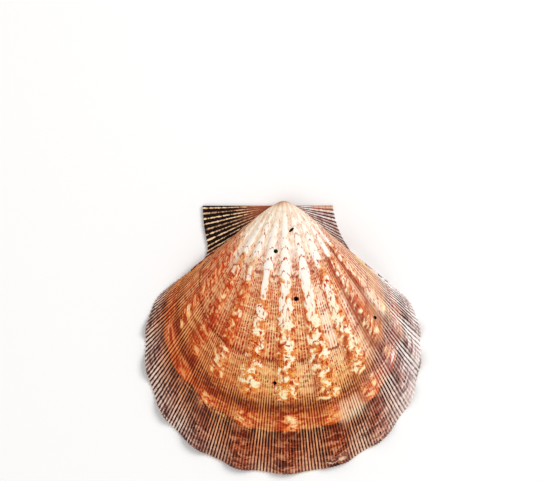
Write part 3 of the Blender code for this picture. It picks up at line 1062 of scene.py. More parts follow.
@dataclass
class Valve:
    """The whole valve: one closed surface with an outer face, a rim and an inner face."""

    outline: Outline = field(default_factory=Outline)
    growth: Growth = field(default_factory=Growth)
    ribs: Ribs = field(default_factory=Ribs)
    riblets: Riblets = field(default_factory=Riblets)
    wall: Wall = field(default_factory=Wall)
    pigment: Pigment = field(default_factory=Pigment)
    bores: tuple[Bore, ...] = (
        Bore(4.5 * MM, -28.0 * MM, 1.5 * MM, 1.5 * MM, 0.0),
        Bore(-1.6 * MM, -13.8 * MM, 1.3 * MM, 1.3 * MM, 0.0),
        Bore(28.3 * MM, -33.8 * MM, 0.9 * MM, 1.2 * MM, math.radians(-60.0)),
        Bore(-1.9 * MM, -53.3 * MM, 1.0 * MM, 1.25 * MM, math.radians(90.0)),
        Bore(3.1 * MM, -7.4 * MM, 0.8 * MM, 1.9 * MM, math.radians(42.0)),
    )
    bore_sides: int = 28
    bore_length: float = 60.0 * MM
    bore_margin: float = 1.5 * MM
    margin_skip: int = 4
    hinge_skip: int = 3
    least_height: float = 0.35
    sampled: tuple[int, int] = (460, 900)
    crease: float = math.radians(38.0)
    standing: float = 0.5
    moved_by: float = 1e-7

    def grown_face(self, line: Array, growth: Array) -> Array:
        """The outer face with its ribs but without its fine relief, as [row, column, xyz].

        A younger outline is the full one times the growth fraction u, turned up about the hinge
        line by rate times ln(1 / u), so every growth path is a logarithmic spiral.

        Args:
            line: plan points of the full outline.
            growth: growth fraction of each row.

        Returns:
            The face's points.
        """
        angle = np.arctan2(line[:, 0], -line[:, 1])
        share = self.outline.disc_share(line)
        rate = self.growth.ear_rate + (self.growth.disc_rate - self.growth.ear_rate) * share
        u = growth[:, None]
        turn = rate * np.log(1.0 / u)
        crest = self.ribs.wave(self.ribs.number(angle, u))
        raised = crest * (1.0 - smooth_step(np.abs(angle), *self.ribs.fade)) * share
        notch = self.ribs.scallop_depth * (1.0 - crest) * share * smooth_step(u, self.ribs.scallop_from, 1.0)
        reach = 1.0 - notch / np.hypot(line[:, 0], line[:, 1])
        x = u * line[:, 0] * reach + self.growth.umbo_aside * (1.0 - u)
        y = u * line[:, 1] * reach
        relief = self.ribs.height * raised * u ** self.ribs.swelling
        after = smooth_step(u, self.growth.halt, self.growth.halt + self.growth.halt_length)
        ledge = self.growth.halt_drop * share * after * (1.0 - u) / (1.0 - self.growth.halt)
        height = self.wall.at_rim(share) + relief - ledge - y * np.sin(turn)
        return np.stack((x, y * np.cos(turn), height), axis=-1)

    @staticmethod
    def normals(face: Array) -> Array:
        """Unit normals of a grid of points, turned to point up.

        Each is the cross product of the grid's two directions over its own length.

        Args:
            face: points as [row, column, xyz].

        Returns:
            The normals, in the same shape.
        """
        normal = np.cross(np.gradient(face, axis=0), np.gradient(face, axis=1))
        normal /= np.maximum(np.linalg.norm(normal, axis=-1, keepdims=True), TINY)
        return normal * np.where(normal[..., 2:3] < 0.0, -1.0, 1.0)

    def surface(self) -> tuple[Array, Array, Array, Fields]:
        """Builds the closed surface in the umbo's own coordinates.

        The outer face is a grid whose first and last columns meet at the umbo's pole. Its border
        is lowered by the wall to make the inner face's first ring, thinned to every few points on
        the way, and the inner rings run from there to a centre.

        Returns:
            Vertices, triangles, each triangle's material slot, and the fields on every vertex.
        """
        line, count = self.riblets.columns(self.outline)
        growth = self.growth.fractions()
        rows, columns = len(growth), len(line)
        angle = np.arctan2(line[:, 0], -line[:, 1])
        share = self.outline.disc_share(line)
        u = growth[:, None]
        face = self.grown_face(line, growth)
        crest = self.ribs.wave(self.ribs.number(angle[None, :], u))
        sunk = self.riblets.groove(count[None, :], u, share[None, :], crest)
        sunk = sunk + self.growth.terraces(u, count[None, :])
        face = face - self.normals(face) * sunk[..., None]
        face[..., 2] = np.maximum(face[..., 2], self.least_height * self.wall.edge)
        kept = 1.0 - self.riblets.tips(count[None, :], u, share[None, :]) / np.hypot(line[:, 0], line[:, 1])
        face[..., :2] *= kept[..., None]

        pole = np.array([[self.growth.umbo_aside, 0.0, self.wall.ear]])
        top = np.concatenate((face.reshape(-1, 3), pole))
        index = np.arange(rows * columns).reshape(rows, columns)
        last = rows * columns
        quads = np.stack((index[:-1, :-1], index[1:, :-1], index[1:, 1:], index[:-1, 1:]), axis=-1)
        quads = quads.reshape(-1, 4)
        fan = np.stack((np.full(columns - 1, last), index[0, :-1], index[0, 1:]), axis=-1)
        outside = np.concatenate((quads[:, [0, 1, 2]], quads[:, [0, 2, 3]], fan))

        rim = np.concatenate((index[-1], index[-2::-1, -1], [last], index[:-1, 0]))
        picked = np.concatenate((
            np.arange(0, columns - 1, self.margin_skip),
            np.arange(columns - 1, columns + rows - 2, self.hinge_skip),
            np.arange(columns + rows - 1, len(rim), self.hinge_skip),
        ))
        plain = np.concatenate((self.grown_face(line, growth).reshape(-1, 3), pole))
        edge = plain[rim[picked]]
        on_hinge = np.ones(len(rim) - columns)
        edge[:, :2] *= np.concatenate((kept[-1], on_hinge))[picked][:, None]
        edge[:, 2] -= np.concatenate((self.wall.at_rim(share), self.wall.ear * on_hinge))[picked]
        edge[:, 2] = np.maximum(edge[:, 2], 0.0)

        sample_rows, sample_columns = self.sampled
        fine = self.outline.whole(sample_columns)
        steps = np.linspace(self.growth.youngest, 1.0, sample_rows)
        sample = self.grown_face(fine, steps)
        ball = self.wall.thickness(self.outline.disc_share(fine), steps)
        inner = InnerHeight(sample.reshape(-1, 3), ball.reshape(-1), self.wall)
        rings, depths = [edge], [np.zeros(len(edge))]
        for depth in np.linspace(0.0, 1.0, self.wall.rings + 1)[1:-1] ** self.wall.crowding:
            flat = self.wall.drawn_in(edge[:, :2], float(depth))
            rings.append(np.column_stack((flat, inner.over(flat))))
            depths.append(np.full(len(edge), depth))
        middle = np.array([self.wall.centre])
        rings.append(np.column_stack((middle, inner.over(middle))))
        depths.append(np.ones(1))

        outer_count, around = len(top), len(edge)
        ring = outer_count + np.arange(self.wall.rings * around).reshape(self.wall.rings, around)
        after = np.roll(ring, -1, axis=1)
        inside = np.concatenate((
            np.stack((after[:-1], ring[:-1], ring[1:]), axis=-1).reshape(-1, 3),
            np.stack((after[:-1], ring[1:], after[1:]), axis=-1).reshape(-1, 3),
            np.stack((after[-1], ring[-1], np.full(around, ring[-1, -1] + 1)), axis=-1),
        ))
        border = self.stitched(rim, picked, ring[0])
        faces = np.concatenate((outside, border, inside))
        slots = np.repeat((Slot.OUTSIDE.value, Slot.LINING.value), (len(outside) + len(border), len(inside)))
        vertices = np.concatenate([top] + rings)
        fields = self.fields(angle, count, growth, share, rim[picked], np.concatenate(depths))
        return vertices, faces, slots, fields

    @staticmethod
    def stitched(rim: Array, picked: Array, ring: Array) -> Array:
        """Joins the finely divided rim to the thinned first ring with triangles.

        Each rim edge makes a triangle with the nearer of its two ring points, and each ring edge
        makes one with the rim point halfway along it.

        Args:
            rim: vertex indices round the rim.
            picked: places in rim that have a ring point below them.
            ring: vertex indices of the ring points.

        Returns:
            Triangles, facing outwards.
        """
        total = len(rim)
        ends = np.append(picked[1:], total)
        halfway = (picked + ends) // 2
        place = np.arange(total)
        segment = np.searchsorted(picked, place, side="right") - 1
        owner = np.where(place < halfway[segment], segment, (segment + 1) % len(picked))
        along = np.stack((rim[place], ring[owner], rim[(place + 1) % total]), axis=-1)
        follows = np.roll(ring, -1)
        across = np.stack((rim[halfway % total], ring, follows), axis=-1)
        return np.concatenate((along, across))

    def fields(
        self, angle: Array, count: Array, growth: Array, share: Array, rim: Array, depths: Array
    ) -> Fields:
        """The fields that the finishes read, on every vertex.

        Args:
            angle: each column's angle, in radians.
            count: each column's riblet count.
            growth: each row's growth fraction.
            share: each column's disc share.
            rim: outer vertices above the inner face's rim ring.
            depths: how far each inner vertex is drawn in.

        Returns:
            Fields by name, plain ones as [vertex] and colours as [vertex, rgb].
        """
        u = growth[:, None]
        rib = self.ribs.number(angle[None, :], u)
        turned = np.degrees(angle)[None, :]
        laid = self.pigment.laid_down(turned, rib, self.ribs.wave(rib), u, share[None, :])
        for name, plain in (("rib", rib), ("disc", share), ("riblet", count), ("growth", u)):
            laid[name] = np.broadcast_to(plain, rib.shape)
        rings = (len(depths) - 1) // len(rim)
        middle = len(angle) // 2
        out = {}
        for name, grid in laid.items():
            flat = grid.reshape((-1,) + grid.shape[2:])
            whole = np.concatenate((flat, flat[middle : middle + 1]))
            tiled = np.tile(whole[rim], (rings,) + (1,) * (flat.ndim - 1))
            out[name] = np.concatenate((whole, tiled, whole[rim[:1]]))
        out["inward"] = np.concatenate((np.zeros(len(growth) * len(angle) + 1), depths))
        return out

    def cutter(self, number: int, bore: Bore, fit: Array, shift: Array) -> Any:
        """An upright oval cylinder longer than the valve is high, turned about its own axis.

        Args:
            number: the bore's place in the list, for its name.
            bore: its place and sizes.
            fit: scale from the umbo's coordinates to the part's.
            shift: what is added after the scale.

        Returns:
            The cutter's object.
        """
        mesh = bpy.data.meshes.new(f"bore_{number}")
        shape = bmesh.new()
        half = bore.width / 2.0
        sizes = {"segments": self.bore_sides, "radius1": half, "radius2": half, "depth": self.bore_length}
        bmesh.ops.create_cone(shape, cap_ends=True, **sizes)
        bmesh.ops.scale(shape, vec=(bore.length / bore.width, 1.0, 1.0), verts=shape.verts)
        for face in shape.faces:
            face.material_index = Slot.BORED.value
        shape.to_mesh(mesh)
        shape.free()
        for _ in Slot:
            mesh.materials.append(None)
        cutter = placed(f"bore_{number}", mesh)
        cutter.location = (bore.x * fit[0] + shift[0], bore.y * fit[1] + shift[1], 0.0)
        cutter.rotation_euler.z = bore.turn
        return cutter

    def bored(
        self, vertices: Array, faces: Array, slots: Array, finishes: list[Any], fit: Array, shift: Array
    ) -> Any:
        """Makes the mesh and cuts the bored holes through it.

        Args:
            vertices: the closed surface's points.
            faces: its triangles.
            slots: each triangle's material slot.
            finishes: the materials, in slot order.
            fit: scale from the umbo's coordinates to the part's.
            shift: what is added after the scale.

        Returns:
            The cut mesh, with the original vertex index in its "source" attribute.
        """
        mesh = bpy.data.meshes.new("valve_uncut")
        mesh.from_pydata(vertices, [], faces.tolist())
        for finish in finishes:
            mesh.materials.append(finish)
        mesh.polygons.foreach_set("material_index", slots.astype(np.int32))
        source = mesh.attributes.new("source", "INT", "POINT")
        source.data.foreach_set("value", np.arange(len(vertices), dtype=np.int32))
        whole = placed("valve_uncut", mesh)
        cutters = [self.cutter(number, bore, fit, shift) for number, bore in enumerate(self.bores)]
        for cutter in cutters:
            cut = whole.modifiers.new(cutter.name, "BOOLEAN")
            cut.operation = "DIFFERENCE"
            cut.solver = "EXACT"
            cut.object = cutter
        graph = bpy.context.evaluated_depsgraph_get()
        result = bpy.data.meshes.new_from_object(whole.evaluated_get(graph))
        for helper in [whole] + cutters:
            bpy.data.objects.remove(helper, do_unlink=True)
        return result

    def write_fields(
        self, mesh: Any, vertices: Array, fields: Fields, fit: Array, shift: Array
    ) -> None:
        """Stores the fields on the cut mesh, giving each new vertex those of its nearest old one.

        Args:
            mesh: the cut mesh, with the original vertex index in its "source" attribute.
            vertices: the closed surface's points, before the cut.
            fields: what to store, by name.
            fit: scale from the umbo's coordinates to the part's.
            shift: what is added after the scale.
        """
        total = len(mesh.vertices)
        places = self.read(mesh.vertices, "co", np.float64, 3)
        source = self.read(mesh.attributes["source"].data, "value", np.int32)
        moved = np.linalg.norm(vertices[source] - places, axis=1) > self.moved_by
        fresh = places[moved]
        middles = [(bore.x, bore.y) * fit[:2] + shift[:2] for bore in self.bores]
        near = np.zeros(len(vertices), bool)
        for middle, bore in zip(middles, self.bores):
            near |= np.hypot(*(vertices[:, :2] - middle).T) < bore.length + self.bore_margin
        near = np.flatnonzero(near)
        gaps = np.linalg.norm(fresh[:, None, :] - vertices[None, near, :], axis=2)
        source[moved] = near[gaps.argmin(axis=1)]
        for name, values in fields.items():
            picked = values[source]
            if picked.ndim == 1:
                layer = mesh.attributes.new(name, "FLOAT", "POINT")
                layer.data.foreach_set("value", picked.astype(np.float32))
            else:
                layer = mesh.attributes.new(name, "FLOAT_COLOR", "POINT")
                rgba = np.column_stack((picked, np.ones(total)))
                layer.data.foreach_set("color", rgba.astype(np.float32).reshape(-1))
        mesh.attributes.remove(mesh.attributes["source"])

    @staticmethod
    def read(items: Any, name: str, kind: Any, width: int = 1) -> Array:
        """Reads one property of all items of a mesh at once.

        Args:
            items: the mesh's collection.
            name: the property.
            kind: its number type.
            width: numbers per item.

        Returns:
            The values, as [item] or [item, number].
        """
        values = np.empty(len(items) * width, kind)
        items.foreach_get(name, values)
        return values if width == 1 else values.reshape(-1, width)

    def crease_rim(self, mesh: Any) -> None:
        """Marks the rim's and the bored holes' edges sharp, and smooths all faces.

        An edge is sharp where its two faces turn by more than the crease angle, and one of them
        stands upright: its normal's height is below the limit.

        Args:
            mesh: the cut mesh.
        """
        faces = mesh.polygons
        face_of = np.repeat(np.arange(len(faces)), self.read(faces, "loop_total", np.int32))
        edge_of = self.read(mesh.loops, "edge_index", np.int32)
        normals = self.read(faces, "normal", np.float32, 3)
        order = np.argsort(edge_of, kind="stable")
        edges, sides = edge_of[order].reshape(-1, 2)[:, 0], face_of[order].reshape(-1, 2)
        dots = (normals[sides[:, 0]] * normals[sides[:, 1]]).sum(axis=1)
        upright = np.abs(normals[sides][..., 2]).min(axis=1) < self.standing
        sharp = np.zeros(len(mesh.edges), bool)
        sharp[edges] = (dots < math.cos(self.crease)) & upright
        faces.foreach_set("use_smooth", np.ones(len(faces), bool))
        mesh.attributes.new("sharp_edge", "BOOLEAN", "EDGE").data.foreach_set("value", sharp)

    def build(self, finishes: list[Any]) -> Any:
        """Builds the valve in its place, in the frame's coordinates.

        Args:
            finishes: the materials, in slot order.

        Returns:
            The finished piece.
        """
        vertices, faces, slots, fields = self.surface()
        low, high = np.array(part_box("valve"))
        own_low, own_high = vertices.min(axis=0), vertices.max(axis=0)
        fit = (high - low) / (own_high - own_low)
        shift = low - own_low * fit
        vertices = vertices * fit + shift
        mesh = self.bored(vertices, faces, slots, finishes, fit, shift)
        self.write_fields(mesh, vertices, fields, fit, shift)
        self.crease_rim(mesh)
        mesh.name = "scallop_valve"
        piece = placed("scallop_valve", mesh)
        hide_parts("valve")
        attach(piece, "root")
        log.info("scallop_valve: %d faces", len(mesh.polygons))
        return piece


def rgba(code: str) -> tuple[float, float, float, float]:
    """An sRGB hex colour in linear light, with full opacity."""
    return (*linear_colour(code), 1.0)


def add_node(tree: Any, kind: str, *inputs: Any, output: str = "", **settings: Any) -> Any:
    """Adds a node with its settings and links, and gives back one of its outputs.

    Args:
        tree: the material's node tree.
        kind: the node's type, without the word ShaderNode that they all start with. Its operation
            may follow a dot.
        inputs: a value or another node's output for each input that the settings leave live, in
            the node's own order. None leaves an input as it is.
        output: the output's name, or nothing for the first live one.
        settings: the node's own properties.

    Returns:
        The output socket.
    """
    kind, _, operation = kind.partition(".")
    made = tree.nodes.new("ShaderNode" + kind)
    if operation:
        made.operation = operation
    for name, value in settings.items():
        setattr(made, name, value)
    live = [socket for socket in made.inputs if socket.enabled]
    for socket, value in zip(live, inputs):
        if isinstance(value, bpy.types.NodeSocket):
            tree.links.new(value, socket)
        elif value is not None:
            socket.default_value = value
    return next(socket for socket in made.outputs if socket.enabled and output in ("", socket.name))


def set_inputs(shader: Any, inputs: dict[str, Any]) -> None:
    """Sets a shader's named inputs, each by a plain value or by another node's output.

    Args:
        shader: the node.
        inputs: values or outputs, by input name.
    """
    for name, value in inputs.items():
        if isinstance(value, bpy.types.NodeSocket):
            shader.id_data.links.new(value, shader.inputs[name])
        else:
            shader.inputs[name].default_value = value


def new_material(name: str) -> tuple[Any, Any, Any]:
    """Adds a material with one Principled surface.

    Args:
        name: the material's name.

    Returns:
        The material, its surface shader, and add_node for its tree.
    """
    made = bpy.data.materials.new(name)
    made.use_nodes = True
    return made, made.node_tree.nodes["Principled BSDF"], functools.partial(add_node, made.node_tree)


@dataclass(frozen=True)
class Pattern:
    """Noise in the plane of riblet count and ring count, in cycles per riblet and per ring."""

    name: str
    across: float
    along: float
    detail: float = 2.0
    roughness: float = 0.5
    distortion: float = 0.0
    dimensions: str = "2D"


@dataclass(frozen=True)
class OuterCalcite:
    """Foliated calcite, laid down ring by ring at the margin and then worn by sand.

    To the eye it is satin rather than glossy, with pale threads on the riblets and with pigment
    woven between them. Patterns lie in the plane of riblet count and growth ring, so they follow
    the shell's own lines. Ranges are the input's two ends, and the output's where they aren't 0
    and 1. Checks are (growth fraction, strength, half width).
    """

    roughness: float = 0.42
    specular: float = 0.07
    ior: float = 1.56
    depth: float = 0.62
    halt: float = 0.8465
    halt_softness: float = 0.0025
    fray: float = 0.022
    checks: tuple[tuple[float, float, float], ...] = (
        (0.312, 0.30, 0.006), (0.336, 0.90, 0.008), (0.405, 0.40, 0.006), (0.47, 0.55, 0.006),
        (0.54, 0.35, 0.006), (0.600, 1.00, 0.007), (0.655, 0.40, 0.006), (0.69, 0.50, 0.006),
        (0.750, 1.00, 0.006), (0.768, 0.80, 0.006),
    )
    check_core: float = 0.3
    check_brown: tuple[float, float, float, float] = rgba("842C10")
    spot_rust: tuple[float, float, float, float] = rgba("A8400E")
    margin_stain: tuple[float, float, float, float] = rgba("2E0806")
    ring_pitch: float = 1.05 * MM
    ring_drift: float = 2.6
    shell_length: float = 82.0 * MM
    young_share: float = 2.0 / 3.0
    multiplied: float = 0.6
    thread_level: float = 0.85
    bead_share: float = 1.7
    thread_lot: tuple[float, float] = (0.6, 0.35)
    dash_shake: tuple[float, float, float] = (0.8, 2.0, 0.6)
    dash_sway: float = 0.7
    dash_lift: float = 1.3
    dash_tone: tuple[float, float] = (0.45, 0.62)
    ring_lot: tuple[float, float] = (1.5, 0.35)
    arc_rise: float = 22.0
    arc_shake: float = 1.6
    arc_pitch: float = 3.0
    cover_lift: float = 0.52
    grain: float = MM / 1.4
    grain_detail: float = 3.0
    line_share: float = 0.3
    bump: tuple[float, float] = (0.6, 0.08 * MM)
    patterns: tuple[Pattern, ...] = (
        Pattern("beads", 1.0, 0.4, 2.0, 0.6), Pattern("fading", 0.22, 0.16, 3.0, 0.6),
        Pattern("arching", 0.5, 0.9), Pattern("patches", 0.45, 0.2, 2.0, 0.6),
        Pattern("blotches", 0.20, 0.46, 2.5, 0.58, 0.3), Pattern("curling", 0.36, 0.66, 2.0, 0.5, 1.0),
        Pattern("grains", 0.55, 0.62, 1.5, 0.5, 0.3, "3D"), Pattern("drift", 0.11, 0.22),
        Pattern("ragged", 0.3, 0.3), Pattern("mottle", 0.17, 0.42, 4.0, 0.68, 0.3),
        Pattern("streaks", 0.22, 0.70, 4.0, 0.70, 0.5),
    )
    ranges: dict[str, tuple[float, ...]] = field(default_factory=lambda: {
        "fading": (0.36, 0.62, -0.15, 0.30), "pale": (0.05, 0.55), "dark": (0.15, -0.45),
        "drawn": (-0.06, 0.12), "wide": (-0.98, -0.10), "tall": (0.98, -0.25), "thin": (0.60, 0.92),
        "broken": (0.40, 0.58), "inside": (0.34, 0.2), "patchy": (0.30, 0.55, 0.35, 1.0),
        "covered": (0.02, 0.16), "amber": (0.56, 0.70), "creamy": (0.62, 0.80), "around": (0.52, 0.66),
        "curl": (0.05, 0.012, 0.0, 0.9), "spot": (0.54, 0.70), "solid": (0.95, 0.60, 0.15, 1.0),
        "soaked": (0.40, 0.68, 0.0, 0.6), "dark_streak": (0.50, 0.40, 0.0, 0.9),
        "pale_streak": (0.51, 0.60, 0.0, 0.95),
    })
    plain_fields: tuple[str, ...] = (
        "riblet", "growth", "rib", "disc", "cover", "dashes", "threads", "breadth", "arcs", "streaks",
        "checks", "spots", "curls", "halted",
    )
    colour_fields: tuple[str, ...] = ("ground", "margin", "stain", "groove", "light", "cream", "fringe")

    def noises(self, add: Any, place: Any) -> dict[str, Any]:
        """Adds every noise pattern, stretched by its own cycles across and along.

        Args:
            add: adds a node to this material.
            place: riblet count and ring count, as a vector.

        Returns:
            The patterns' outputs, by name.
        """
        out = {}
        for one in self.patterns:
            stretched = add("VectorMath.MULTIPLY", place, (one.across, one.along, 1.0))
            shape = (1.0, one.detail, one.roughness, None, one.distortion)
            out[one.name] = add("TexNoise", stretched, *shape, noise_dimensions=one.dimensions)
        return out

    def riblet_threads(self, add: Any, noises: Any, count: Any, fields: dict[str, Any]) -> tuple[Any, Any]:
        """The pale threads on the riblets' crests, each with its own strength along its length.

        The riblets' height is a cosine of their count. Noise that is long across the rings wears
        it down, and a lot drawn for each riblet makes some threads paler than others.

        Args:
            add: adds a node to this material.
            noises: the noise patterns, by name.
            count: the riblet count.
            fields: sockets of the stored fields, by name.

        Returns:
            How pale the thread is, and how dark the groove beside it is, both from 0 to 1.
        """
        section = add("Math.COSINE", add("Math.MULTIPLY", count, TURN))
        level = add("Math.SUBTRACT", fields["breadth"], self.thread_level)
        level = add("Math.SUBTRACT", level, section)
        height = add("Math.MULTIPLY_ADD", noises["beads"], self.bead_share, level)
        lot = add("TexWhiteNoise", add("Math.FLOOR", count), noise_dimensions="1D")
        own = add("Math.MULTIPLY_ADD", lot, *self.thread_lot)
        own = add("Math.ADD", add("MapRange", noises["fading"], *self.ranges["fading"]), own)
        strength = add("Math.MULTIPLY", fields["threads"], own, use_clamp=True)
        pale = add("MapRange", height, *self.ranges["pale"], **SMOOTH)
        dark = add("MapRange", height, *self.ranges["dark"], **SMOOTH)
        return add("Math.MULTIPLY", pale, strength), add("Math.MULTIPLY", dark, fields["threads"])

    def woven_dashes(self, add: Any, count: Any, ring: Any, fields: dict[str, Any]) -> Any:
        """Dashes of pigment: each cell between two riblets and two rings has one or not, by lot.

        A second lot, drawn for each ring, makes some rings darker all the way across.

        Args:
            add: adds a node to this material.
            count: the riblet count.
            ring: the ring count.
            fields: sockets of the stored fields, by name.

        Returns:
            How dark the dash is, from 0 to 1.
        """
        plane = add("CombineXYZ", count, ring)
        shaken = add("TexNoise", plane, *self.dash_shake, output="Color", noise_dimensions="2D")
        sway, lift = add("SeparateXYZ", shaken), add("SeparateXYZ", shaken, output="Y")
        centred = add("Math.SUBTRACT", count, self.dash_sway / 2.0)
        count = add("Math.MULTIPLY_ADD", sway, self.dash_sway, centred)
        ring = add("Math.MULTIPLY_ADD", lift, self.dash_lift, ring)
        column = add("Math.FLOOR", add("Math.ADD", count, 0.5))
        row = add("Math.FLOOR", ring)
        lot = add("TexWhiteNoise", add("CombineXYZ", column, row), noise_dimensions="2D")
        tone = add("TexWhiteNoise", add("CombineXYZ", row, column), noise_dimensions="2D")
        share = add("Math.MULTIPLY_ADD", add("TexWhiteNoise", row, noise_dimensions="1D"), *self.ring_lot)
        density = add("Math.MULTIPLY", fields["dashes"], share)
        drawn = add("MapRange", add("Math.SUBTRACT", density, lot), *self.ranges["drawn"])
        across = add("Math.COSINE", add("Math.MULTIPLY", count, TURN))
        along = add("Math.COSINE", add("Math.MULTIPLY", ring, TURN))
        wide = add("MapRange", across, *self.ranges["wide"], **SMOOTH)
        tall = add("MapRange", along, *self.ranges["tall"], **SMOOTH)
        cell = add("Math.MULTIPLY", add("Math.MULTIPLY", drawn, wide), tall)
        return add("Math.MULTIPLY", cell, add("Math.MULTIPLY_ADD", tone, *self.dash_tone))

    def rib_arcs(self, add: Any, noises: Any, ring: Any, fields: dict[str, Any]) -> Any:
        """Thin arches of pigment across the ribs' crests, drawn by lot every few rings.

        The ring count falls with the square of the distance from the crest, which bends each ring
        into an arch, and noise shakes it.

        Args:
            add: adds a node to this material.
            noises: the noise patterns, by name.
            ring: the ring count.
            fields: sockets of the stored fields, by name.

        Returns:
            How dark the arch is, from 0 to 1.
        """
        whole = add("Math.ROUND", fields["rib"])
        aside = add("Math.SUBTRACT", fields["rib"], whole)
        arched = add("Math.MULTIPLY_ADD", add("Math.MULTIPLY", aside, aside), -self.arc_rise, ring)
        shaken = add("Math.MULTIPLY_ADD", noises["arching"], self.arc_shake, arched)
        step = add("Math.DIVIDE", shaken, self.arc_pitch)
        cell = add("CombineXYZ", whole, add("Math.FLOOR", step))
        lot = add("TexWhiteNoise", cell, noise_dimensions="2D")
        drawn = add("Math.LESS_THAN", lot, fields["arcs"])
        wave = add("Math.COSINE", add("Math.MULTIPLY", step, TURN))
        thin = add("MapRange", wave, *self.ranges["thin"], **SMOOTH)
        broken = add("MapRange", noises["arching"], *self.ranges["broken"], **SMOOTH)
        inside = add("MapRange", add("Math.ABSOLUTE", aside), *self.ranges["inside"])
        return functools.reduce(functools.partial(add, "Math.MULTIPLY"), (thin, broken, inside, drawn))

    def check_lines(self, add: Any, noises: Any, frayed: Any, fields: dict[str, Any]) -> Any:
        """Thin dark lines where growth paused for a while, broken up here and there.

        Each line is strongest at its own growth fraction and fades over its half width.

        Args:
            add: adds a node to this material.
            noises: the noise patterns, by name.
            frayed: the growth fraction, frayed by noise.
            fields: sockets of the stored fields, by name.

        Returns:
            How dark the line is, from 0 to 1.
        """
        lines = 0.0
        for growth, strength, half_width in self.checks:
            away = add("Math.ABSOLUTE", add("Math.SUBTRACT", frayed, growth + self.fray / 2.0))
            line = add("MapRange", away, half_width, self.check_core * half_width, 0.0, strength)
            lines = add("Math.MAXIMUM", line, lines)
        patchy = add("MapRange", noises["patches"], *self.ranges["patchy"])
        return add("Math.MULTIPLY", add("Math.MULTIPLY", lines, patchy), fields["checks"])

    def cream_blotches(self, add: Any, noises: Any, fields: dict[str, Any]) -> tuple[Any, ...]:
        """Cream blotches where warped noise, raised by the stored cover, passes a level.

        Curls are the lines along which a second noise passes its middle value, and rusty spots
        are left where a third is high.

        Args:
            add: adds a node to this material.
            noises: the noise patterns, by name.
            fields: sockets of the stored fields, by name.

        Returns:
            The amber area, the cream area within it, the curls beside it and the spots on it.
        """
        lifted = add("Math.MULTIPLY_ADD", fields["cover"], self.cover_lift, noises["blotches"])
        off = add("Math.ABSOLUTE", add("Math.SUBTRACT", noises["curling"], 0.5))
        sources = {
            "covered": fields["cover"], "amber": lifted, "creamy": lifted, "around": lifted,
            "curl": off, "spot": noises["grains"],
        }
        soft = {name: add("MapRange", one, *self.ranges[name], **SMOOTH) for name, one in sources.items()}
        solid = add("MapRange", fields["cover"], *self.ranges["solid"])
        areas = (
            (soft["amber"],), (soft["creamy"],), (soft["curl"], soft["around"], fields["curls"]),
            (soft["spot"], solid, fields["spots"]),
        )
        times = functools.partial(add, "Math.MULTIPLY")
        return tuple(functools.reduce(times, (*area, soft["covered"])) for area in areas)

    def material(self) -> Any:
        """Builds the outer face's material from the fields stored on the mesh.

        The shell's true rings are a little finer in places, and are drawn about 1 mm apart.

        Returns:
            The material.
        """
        made, shader, add = new_material("outer_calcite")
        fields = {
            name: add("Attribute", attribute_name=name, output=output)
            for output, names in (("Fac", self.plain_fields), ("Color", self.colour_fields))
            for name in names
        }
        rings = add("Math.MULTIPLY", fields["growth"], self.shell_length / self.ring_pitch)
        noises = self.noises(add, add("CombineXYZ", fields["riblet"], rings))

        # The riblets' own count: two for each three at the margin until the third set starts.
        young = add("Math.MULTIPLY", fields["riblet"], self.young_share)
        grown = add("Math.GREATER_THAN", fields["growth"], self.multiplied)
        full = add("Math.MAXIMUM", grown, add("Math.LESS_THAN", fields["disc"], 0.5))
        count = add("Mix", full, young, fields["riblet"], data_type="FLOAT")

        # Rings pushed about by slow noise, so that none is a perfect line.
        ring = add("Math.MULTIPLY_ADD", noises["drift"], self.ring_drift, rings)
        frayed = add("Math.MULTIPLY_ADD", noises["ragged"], self.fray, fields["halted"])
        after = add("MapRange", frayed, self.halt - self.halt_softness, self.halt + self.halt_softness)
        after = add("Math.MULTIPLY", after, fields["disc"])
        ground = add("Mix", after, fields["ground"], fields["margin"], data_type="RGBA")
        stain = add("Mix", after, fields["stain"], self.margin_stain, data_type="RGBA")

        soaked, dark_streak, pale_streak = (
            add("Math.MULTIPLY", add("MapRange", noises[noise], *self.ranges[name], **SMOOTH), fields[over])
            for name, noise, over in (
                ("soaked", "mottle", "dashes"), ("dark_streak", "streaks", "streaks"),
                ("pale_streak", "streaks", "streaks"),
            )
        )
        pale, dark = self.riblet_threads(add, noises, count, fields)
        dashes = self.woven_dashes(add, count, ring, fields)
        lines = self.check_lines(add, noises, frayed, fields)
        amber, creamy, curl, spot = self.cream_blotches(add, noises, fields)
        arcs = self.rib_arcs(add, noises, ring, fields)

        # Laid one over another, the deepest first.
        colour = ground
        for amount, over in (
            (pale_streak, fields["light"]), (dark_streak, stain), (soaked, stain), (dark, fields["groove"]),
            (lines, self.check_brown), (dashes, stain), (pale, fields["light"]), (amber, fields["fringe"]),
            (creamy, fields["cream"]), (curl, fields["cream"]), (spot, self.spot_rust), (arcs, stain),
        ):
            colour = add("Mix", amount, colour, over, data_type="RGBA")

        # The worn surface is a little translucent, which deepens its colours: each channel moves
        # towards 3x^2 - 2x^3.
        deep = add("MapRange", colour, data_type="FLOAT_VECTOR", **SMOOTH)
        colour = add("Mix", self.depth, colour, deep, data_type="RGBA")

        # Growth lines far too shallow for the mesh, and the grain of the worn surface.
        grain = add("TexNoise", add("TexCoord", output="Object"), 1.0 / self.grain, self.grain_detail)
        wave = add("Math.COSINE", add("Math.MULTIPLY", ring, TURN))
        bump = add("Bump", *self.bump)
        set_inputs(bump.node, {"Height": add("Math.MULTIPLY_ADD", wave, self.line_share, grain)})
        set_inputs(shader, {
            "Base Color": colour, "Normal": bump, "Roughness": self.roughness,
            "Specular IOR Level": self.specular, "IOR": self.ior,
        })
        return made


